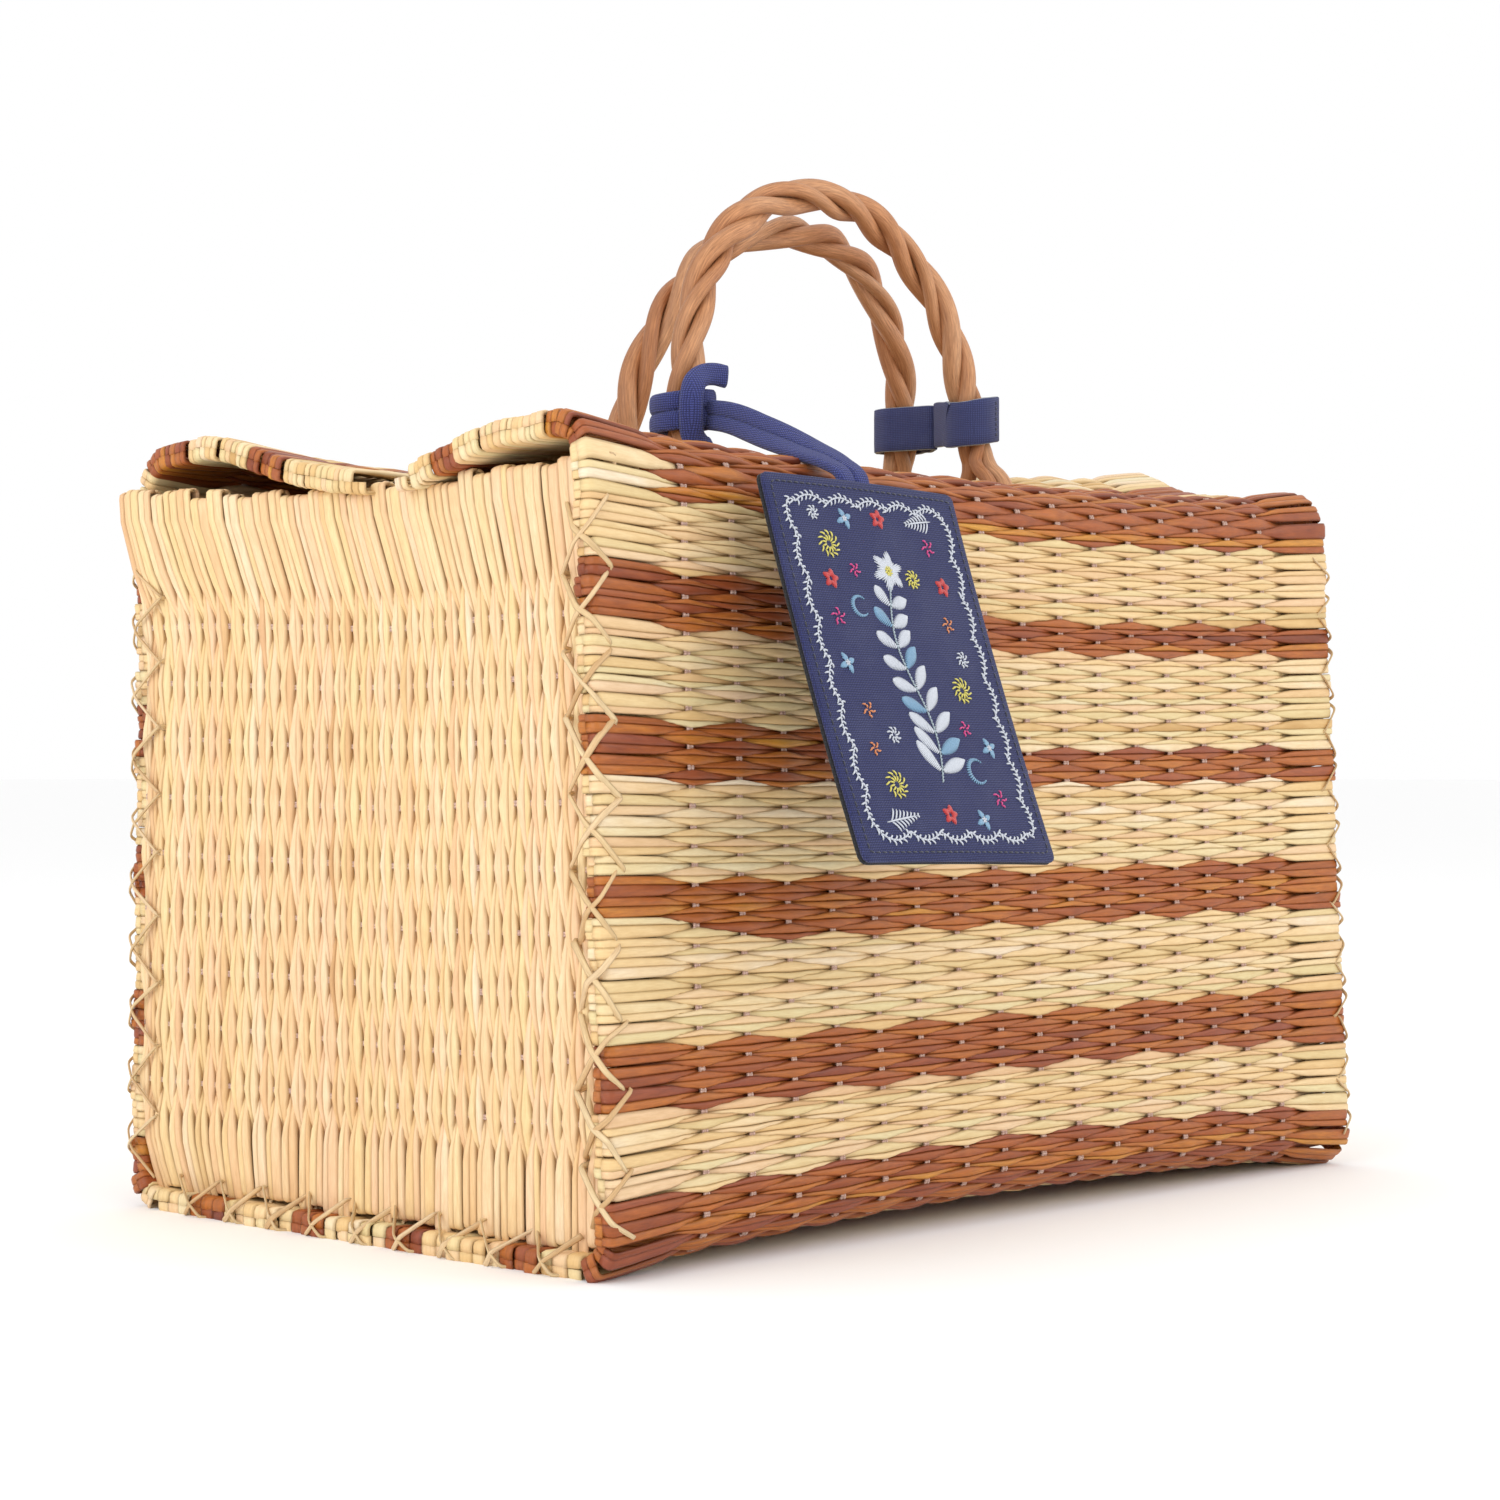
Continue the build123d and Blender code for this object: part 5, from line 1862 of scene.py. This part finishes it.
class ThreadColour(Enum):
    """Colours of the embroidery, linear RGB."""

    WHITE = (0.72, 0.76, 0.84)
    SKY = (0.22, 0.42, 0.62)
    YELLOW = (0.80, 0.72, 0.14)
    PINK = (0.78, 0.05, 0.28)
    RED = (0.62, 0.03, 0.03)
    ORANGE = (0.80, 0.28, 0.10)
    LEAF = (0.45, 0.55, 0.60)


# Stars as (colour, x, y, radius, rays, turn), x and y from the tag's middle.
STARS = (
    (ThreadColour.YELLOW, -22.0, 40.0, 4.6, 12, 0.2),
    (ThreadColour.YELLOW, 22.0, -6.0, 4.4, 12, 0.5),
    (ThreadColour.YELLOW, -21.0, -38.0, 4.6, 12, 0.1),
    (ThreadColour.PINK, 24.0, 42.0, 3.0, 5, 0.4),
    (ThreadColour.PINK, -26.0, 16.0, 3.0, 5, 0.0),
    (ThreadColour.PINK, 25.0, -42.0, 3.0, 5, 0.9),
    (ThreadColour.ORANGE, 24.0, 16.0, 2.7, 5, 0.3),
    (ThreadColour.ORANGE, -24.0, -14.0, 2.7, 5, 0.7),
    (ThreadColour.YELLOW, 12.5, 30.5, 3.2, 10, 0.3),
    (ThreadColour.PINK, 18.0, -19.0, 2.6, 5, 0.2),
    (ThreadColour.PINK, -13.5, 32.0, 2.4, 5, 0.6),
    (ThreadColour.WHITE, -16.0, -22.0, 2.8, 8, 0.0),
    (ThreadColour.WHITE, 26.5, 4.5, 2.8, 8, 0.2),
    (ThreadColour.WHITE, -26.0, 50.0, 2.4, 8, 0.1),
    (ThreadColour.ORANGE, -26.0, -26.5, 2.3, 5, 0.5),
)
SKY_FLOWERS = ((-12.5, 49.0), (14.0, -49.0), (27.0, -25.0), (-27.5, 1.0))
RED_FLOWERS = ((26.5, 29.0), (-25.0, 28.5), (3.0, 50.0), (-1.0, -47.5))
CRESCENTS = ((17.5, -33.0, 4.4), (-15.5, 20.0, 3.6))
FRONDS = ((-30.0, -50.0, 0.15, 14.0), (29.0, 51.5, 3.3, 13.0))

Stitches = tuple[Array, Array]  # (n, 2) points where stitches start, and where they end


def left_of(vectors: Array) -> Array:
    """2D vectors turned a quarter to the left."""
    return np.stack([-vectors[..., 1], vectors[..., 0]], axis=-1)


def crescent(x: float, y: float, radius: float) -> Stitches:
    """Crescent filled with stitches between two arcs, whose tips meet."""
    angle = np.linspace(0.6, 2 * np.pi - 0.6, 26)
    arc = radius * polar(angle)
    thick = 0.42 * np.sin((angle - 0.6) / (2 * np.pi - 1.2) * np.pi)[:, None]
    return (x, y) + arc, (x, y) + arc * (1.0 - thick)


def frond(x: float, y: float, heading: float, length: float) -> Stitches:
    """Small fern: a straight rib with barbs on both sides that shorten to its tip."""
    foot, along = np.array([(x, y)]), polar(heading)
    share = np.linspace(0.15, 1.0, 8)[:, None]
    root = foot + along * share * length
    barb = (1.2 - share) * 3.6
    ends = [root + along * barb * 0.7 + left_of(along) * barb * side for side in (-1.0, 1.0)]
    return np.concatenate([root, root, foot]), np.concatenate([*ends, foot + along * length])


def star(x: float, y: float, radius: float, rays: int, turn: float) -> Stitches:
    """Rays that bend a little, each of two stitches."""
    angle = np.arange(rays) * 2 * np.pi / rays + turn
    bends = ((0.22, 0.0), (0.65, 0.08), (1.0, 0.45))
    inner, knee, outer = ((x, y) + share * radius * polar(angle + bend) for share, bend in bends)
    return np.concatenate([inner, knee]), np.concatenate([knee, outer])


def petals(x: float, y: float, count: int, reach: float, width: float, turn: float) -> Stitches:
    """Flower of pointed petals, filled with stitches that run out from the middle."""
    fill = np.linspace(-1.0, 1.0, 7)[:, None]
    starts, ends = [], []
    for angle in np.arange(count) * 2 * np.pi / count + turn:
        along = polar(angle)
        across = left_of(along) * fill * width
        starts.append((x, y) + along * 0.6 + across * 0.25)
        ends.append((x, y) + along * reach * (1.0 - 0.38 * fill**2) + across * 0.55)
    return np.concatenate(starts), np.concatenate(ends)


def leaf(root: Array, heading: float, length: float, width: float) -> Stitches:
    """Leaf filled with satin stitches across its rib: half width = width / 2 x sin(pi share)^0.7."""
    along = polar(heading)
    share = np.linspace(0.06, 0.97, int(length / 0.52))[:, None]
    half = 0.5 * width * np.sin(np.pi * share) ** 0.7
    middle = root + along * share * length + along * 0.45 * half
    return middle + left_of(along) * half, middle - left_of(along) * half


@dataclass
class Tag:
    """Canvas tag: navy front sewn to a dark backing, with a stitched vine, a sprig and small flowers.

    Attributes:
        palette: Materials.
        width: Width of the tag.
        length: Length of the tag.
        corner: Radius of its corners.
        front: Thickness of the canvas front.
        back: Thickness of the backing.
        lean_deg: How far the tag hangs out from upright.
        turn_deg: Small turn of the tag in its own plane.
        hinge: Middle of its top edge, where it hangs.
        drop: How far the top edge hangs below the hinge.
    """

    palette: Palette
    width: float = 88.0
    length: float = 125.0
    corner: float = 2.6
    front: float = 1.6
    back: float = 1.4
    lean_deg: float = 21.0
    turn_deg: float = 1.3
    hinge: tuple = (-88.7, -120.1, 237.6)
    drop: float = 1.2

    def _upright(self, up: Array, out: Array) -> tuple[Array, Array]:
        """Y and Z of distances up the tag and out of its face."""
        lean = math.radians(self.lean_deg)
        return up * math.sin(lean) - out * math.cos(lean), up * math.cos(lean) + out * math.sin(lean)

    def _place(self, flat: Array) -> Array:
        """Flat points (across, up from the tag's middle, out of its face) in the basket's frame."""
        plan = turned(flat[..., :2] - (0.0, self.length / 2), math.radians(-self.turn_deg))
        out = flat[..., 2] + self._bow(flat[..., 0], flat[..., 1])
        y, z = self._upright(plan[..., 1] - self.drop, out)
        return np.stack([plan[..., 0], y, z], axis=-1) + self.hinge

    def _bow(self, x: Array, y: Array) -> Array:
        """Slight curl of the tag: 1.3 (y / half length)^2 - 0.9 (x / half width)^2, in mm."""
        return 1.3 * (2 * y / self.length) ** 2 - 0.9 * (2 * x / self.width) ** 2 - 0.4

    def _outline(self, inset: float) -> Array:
        """Rounded rectangle, inset by a distance, as (n, 2) points."""
        radius = max(self.corner - inset, 0.4)
        middle = np.array([self.width / 2 - inset - radius, self.length / 2 - inset - radius])
        points = []
        for quarter, signs in enumerate(((1, 1), (-1, 1), (-1, -1), (1, -1))):
            angle = np.linspace(quarter * np.pi / 2, (quarter + 1) * np.pi / 2, 7)
            points.append(middle * signs + radius * polar(angle))
        return resample(looped(np.concatenate(points)), 281)[:-1]

    def _layer(self, name: str, low: float, high: float, inset: float) -> bpy.types.Object:
        """One layer of the tag, from a low to a high level over its seam, with soft rims."""
        soft = min(0.45, (high - low) / 3)
        outline, inner = self._outline(inset), self._outline(inset + soft)
        shares = (0.03, 0.25, 0.5, 0.75, 0.93)
        rings = [(outline * share, low) for share in shares]
        rings += [(inner, low), (outline, low + soft), (outline, high - soft), (inner, high)]
        rings += [(outline * share, high) for share in shares[::-1]]
        flat = [np.column_stack([line, np.full(len(line), level)]) for line, level in rings]
        points = self._place(np.array(flat))[None]
        return write_mesh(name, points, np.full(points.shape[:2], 0.5), np.zeros(points.shape[2]), False)

    def build(self) -> None:
        """Makes both layers, the topstitching and the embroidery."""
        face = self._layer("tag_canvas_front", 0.0, self.front, 0.15)
        settle(face, self.palette.cloth(NAVY), "canvas", "tag", "tag_front")
        rear = self._layer("tag_backing", -self.back, -0.02, 0.0)
        settle(rear, self.palette.cloth(BACKING), "tag_backing", "tag", "tag_back")
        self._topstitch()
        self._embroider()

    def _sew(
        self, name: str, sewn: Stitches, colour: tuple, radius: float = 0.3, rise: float = 0.3
    ) -> None:
        """Stitches on the tag's face."""
        lift = self.front + 0.05
        start, end = (self._place(np.column_stack([p, np.full(len(p), lift)])) for p in sewn)
        normal = np.array([0.0, *self._upright(0.0, 1.0)])
        piece = stitches(f"tag_{name}", start, end, normal, radius, rise)
        settle(piece, self.palette.thread(f"{name} thread", colour), "canvas", "tag")

    def _topstitch(self) -> None:
        """Dashes of navy thread 3 mm inside the tag's edge."""
        line = looped(self._outline(3.0))
        starts = np.arange(0.0, run_length(line)[-1] - 2.0, 2.6)
        dashes = (points_at(line, starts), points_at(line, starts + 1.9))
        self._sew("topstitch", dashes, (0.012, 0.015, 0.04), 0.24, 0.16)

    def _embroider(self) -> None:
        """Sews the border vine and the motifs, gathered by colour."""
        sewn: dict[ThreadColour, list[Stitches]] = {colour: [] for colour in ThreadColour}
        sewn[ThreadColour.WHITE].append(self._vine(np.random.default_rng(5)))
        self._sprig(sewn)
        for colour, *form in STARS:
            sewn[colour].append(star(*form))
        for x, y in SKY_FLOWERS:
            sewn[ThreadColour.SKY].append(petals(x, y, 4, 3.6, 1.5, 0.4))
            sewn[ThreadColour.WHITE].append(star(x, y, 1.0, 5, 0.0))
        sewn[ThreadColour.RED] += [petals(x, y, 5, 3.4, 1.7, 0.1) for x, y in RED_FLOWERS]
        sewn[ThreadColour.SKY] += [crescent(*form) for form in CRESCENTS]
        sewn[ThreadColour.WHITE] += [frond(*form) for form in FRONDS]
        for colour, parts in sewn.items():
            start, end = (np.concatenate(points) for points in zip(*parts))
            self._sew(colour.name.lower(), (start, end), colour.value)

    def _vine(self, rng: np.random.Generator) -> Stitches:
        """Border vine: a waved line 9 mm inside the edge, with short leaf stitches on both sides."""
        line = looped(self._outline(9.0))
        length = run_length(line)[-1]
        at = np.linspace(0.0, length, 340, endpoint=False)
        spot = points_at(line, at)
        tangent = unit(np.roll(spot, -1, axis=0) - np.roll(spot, 1, axis=0))
        waves = 26
        swing = 3.0 * np.abs(np.sin(np.pi * waves * at / length)) ** 0.75
        path = spot - left_of(tangent) * (swing - 0.8)[:, None]
        ahead = np.roll(path, -1, axis=0)
        along = unit(ahead - path)
        side = np.where(np.arange(len(path)) % 2 == 0, 1.0, -1.0)[:, None]
        tip = path + left_of(along) * side * 1.5 + along * 1.1 + rng.uniform(-0.3, 0.3, path.shape)
        return np.concatenate([path, path]), np.concatenate([ahead, tip])

    def _sprig(self, sewn: dict) -> None:
        """Tall sprig in the tag's middle: a curved stem with paired leaves and a flower on top."""
        share = np.linspace(0.0, 1.0, 60)
        stem = np.stack([3.2 * np.sin(2.2 * np.pi * share), -37.0 + 68.0 * share], axis=1)
        sewn[ThreadColour.LEAF].append((stem[:-1], stem[1:]))
        for index, at in enumerate(np.linspace(3, 50, 9).astype(int)):
            heading = math.atan2(*(stem[at + 1] - stem[at])[::-1])
            for side in (-1, 1):
                colour = ThreadColour.WHITE if (index + side) % 4 else ThreadColour.SKY
                sewn[colour].append(leaf(stem[at], heading + side * 0.95, 12.5 - 0.55 * index, 4.6))
        x, y = stem[-1] + (0.0, 1.5)
        sewn[ThreadColour.WHITE].append(petals(x, y, 6, 7.2, 3.4, 0.3))
        sewn[ThreadColour.YELLOW].append(star(x, y, 1.7, 8, 0.0))


def make_parts(palette: Palette) -> list:
    """The basket's sub-assemblies, in the order in which they are made."""
    lacings = [Lacing(end, corner, palette) for end in End for corner in Corner]
    handles = [Handle(FRONT_ARCH, palette), Handle(BACK_ARCH, palette)]
    return [BasketBody(palette), *lacings, *handles, Band(palette), Strap(palette), Tag(palette)]


# ------------------------------------------------------------------ stage


@dataclass(frozen=True)
class Softbox:
    """A square soft light that looks at the basket.

    Attributes:
        name: Name of the light.
        place: Where it stands, in metres.
        size: Length of its sides, in metres.
        power: Its power, in watts.
    """

    name: str
    place: tuple
    size: float
    power: float

    def build(self, target: Vector) -> None:
        """Makes the light and turns it to a target."""
        lamp = bpy.data.lights.new(self.name, "AREA")
        lamp.shape = "SQUARE"
        lamp.size = self.size
        lamp.energy = self.power
        light = bpy.data.objects.new(self.name, lamp)
        light.location = self.place
        light.rotation_euler = (target - Vector(self.place)).to_track_quat("-Z", "Y").to_euler()
        bpy.context.scene.collection.objects.link(light)


class Stage:
    """Pale floor, soft lights and the camera."""

    FLOOR_HALF = 40.0
    PAPER = ((0.96, 0.96, 0.96), (0.985, 0.985, 0.985))
    LIGHTS = (
        Softbox("left_softbox", (-1.6, -0.15, 0.75), 1.2, 10.0),
        Softbox("front_softbox", (1.0, -1.8, 1.1), 1.2, 10.0),
        Softbox("top_softbox", (0.0, 0.3, 2.2), 1.6, 4.0),
    )
    LIGHTS_TARGET = (0.0, 0.0, 0.15)
    CAMERA_PLACE = (-0.801, -0.760, 0.148)
    CAMERA_YAW = 46.12
    CAMERA_PITCH = 0.37
    CAMERA_LENS = 74.09
    CAMERA_SENSOR = 36.0

    def build(self) -> None:
        """Makes floor, lights and camera, and shows colours as they are."""
        bpy.context.scene.view_settings.view_transform = "Standard"
        self._floor()
        self._room()
        for light in self.LIGHTS:
            light.build(Vector(self.LIGHTS_TARGET))
        self._camera()

    def _floor(self) -> None:
        """A wide white floor with a faint paper grain."""
        mesh = bpy.data.meshes.new("floor")
        half = self.FLOOR_HALF
        corners = [(-half, -half, 0), (half, -half, 0), (half, half, 0), (-half, half, 0)]
        mesh.from_pydata(corners, [], [(0, 1, 2, 3)])
        floor = bpy.data.objects.new("floor", mesh)
        bpy.context.scene.collection.objects.link(floor)
        material = bpy.data.materials.new("white paper")
        material.use_nodes = True
        g = Graph(material.node_tree)
        grain = g.noise(g.add("ShaderNodeTexCoord").outputs["Object"], 900.0)
        shader = material.node_tree.nodes["Principled BSDF"]
        g.fill(shader, {"Base Color": g.mix(grain, *self.PAPER), "Roughness": 0.9})
        mesh.materials.append(material)

    def _room(self) -> None:
        """A bright white room."""
        world = bpy.data.worlds.new("room")
        bpy.context.scene.world = world
        world.use_nodes = True
        background = world.node_tree.nodes["Background"]
        background.inputs["Color"].default_value = (1.0, 1.0, 1.0, 1.0)
        background.inputs["Strength"].default_value = 1.0

    def _camera(self) -> None:
        """Camera at the basket's left front corner."""
        data = bpy.data.cameras.new("camera")
        data.lens = self.CAMERA_LENS
        data.sensor_width = self.CAMERA_SENSOR
        camera = bpy.data.objects.new("camera", data)
        camera.location = self.CAMERA_PLACE
        yaw, pitch = math.radians(self.CAMERA_YAW), math.radians(self.CAMERA_PITCH)
        level = math.cos(pitch)
        ahead = Vector((math.sin(yaw) * level, math.cos(yaw) * level, math.sin(pitch)))
        camera.rotation_euler = ahead.to_track_quat("-Z", "Y").to_euler()
        bpy.context.scene.collection.objects.link(camera)
        bpy.context.scene.camera = camera


def main() -> None:
    """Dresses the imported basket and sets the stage."""
    logging.basicConfig(level=logging.INFO)
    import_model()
    palette = Palette()
    for part in make_parts(palette):
        part.build()
    Stage().build()


if __name__ == "__main__":
    main()
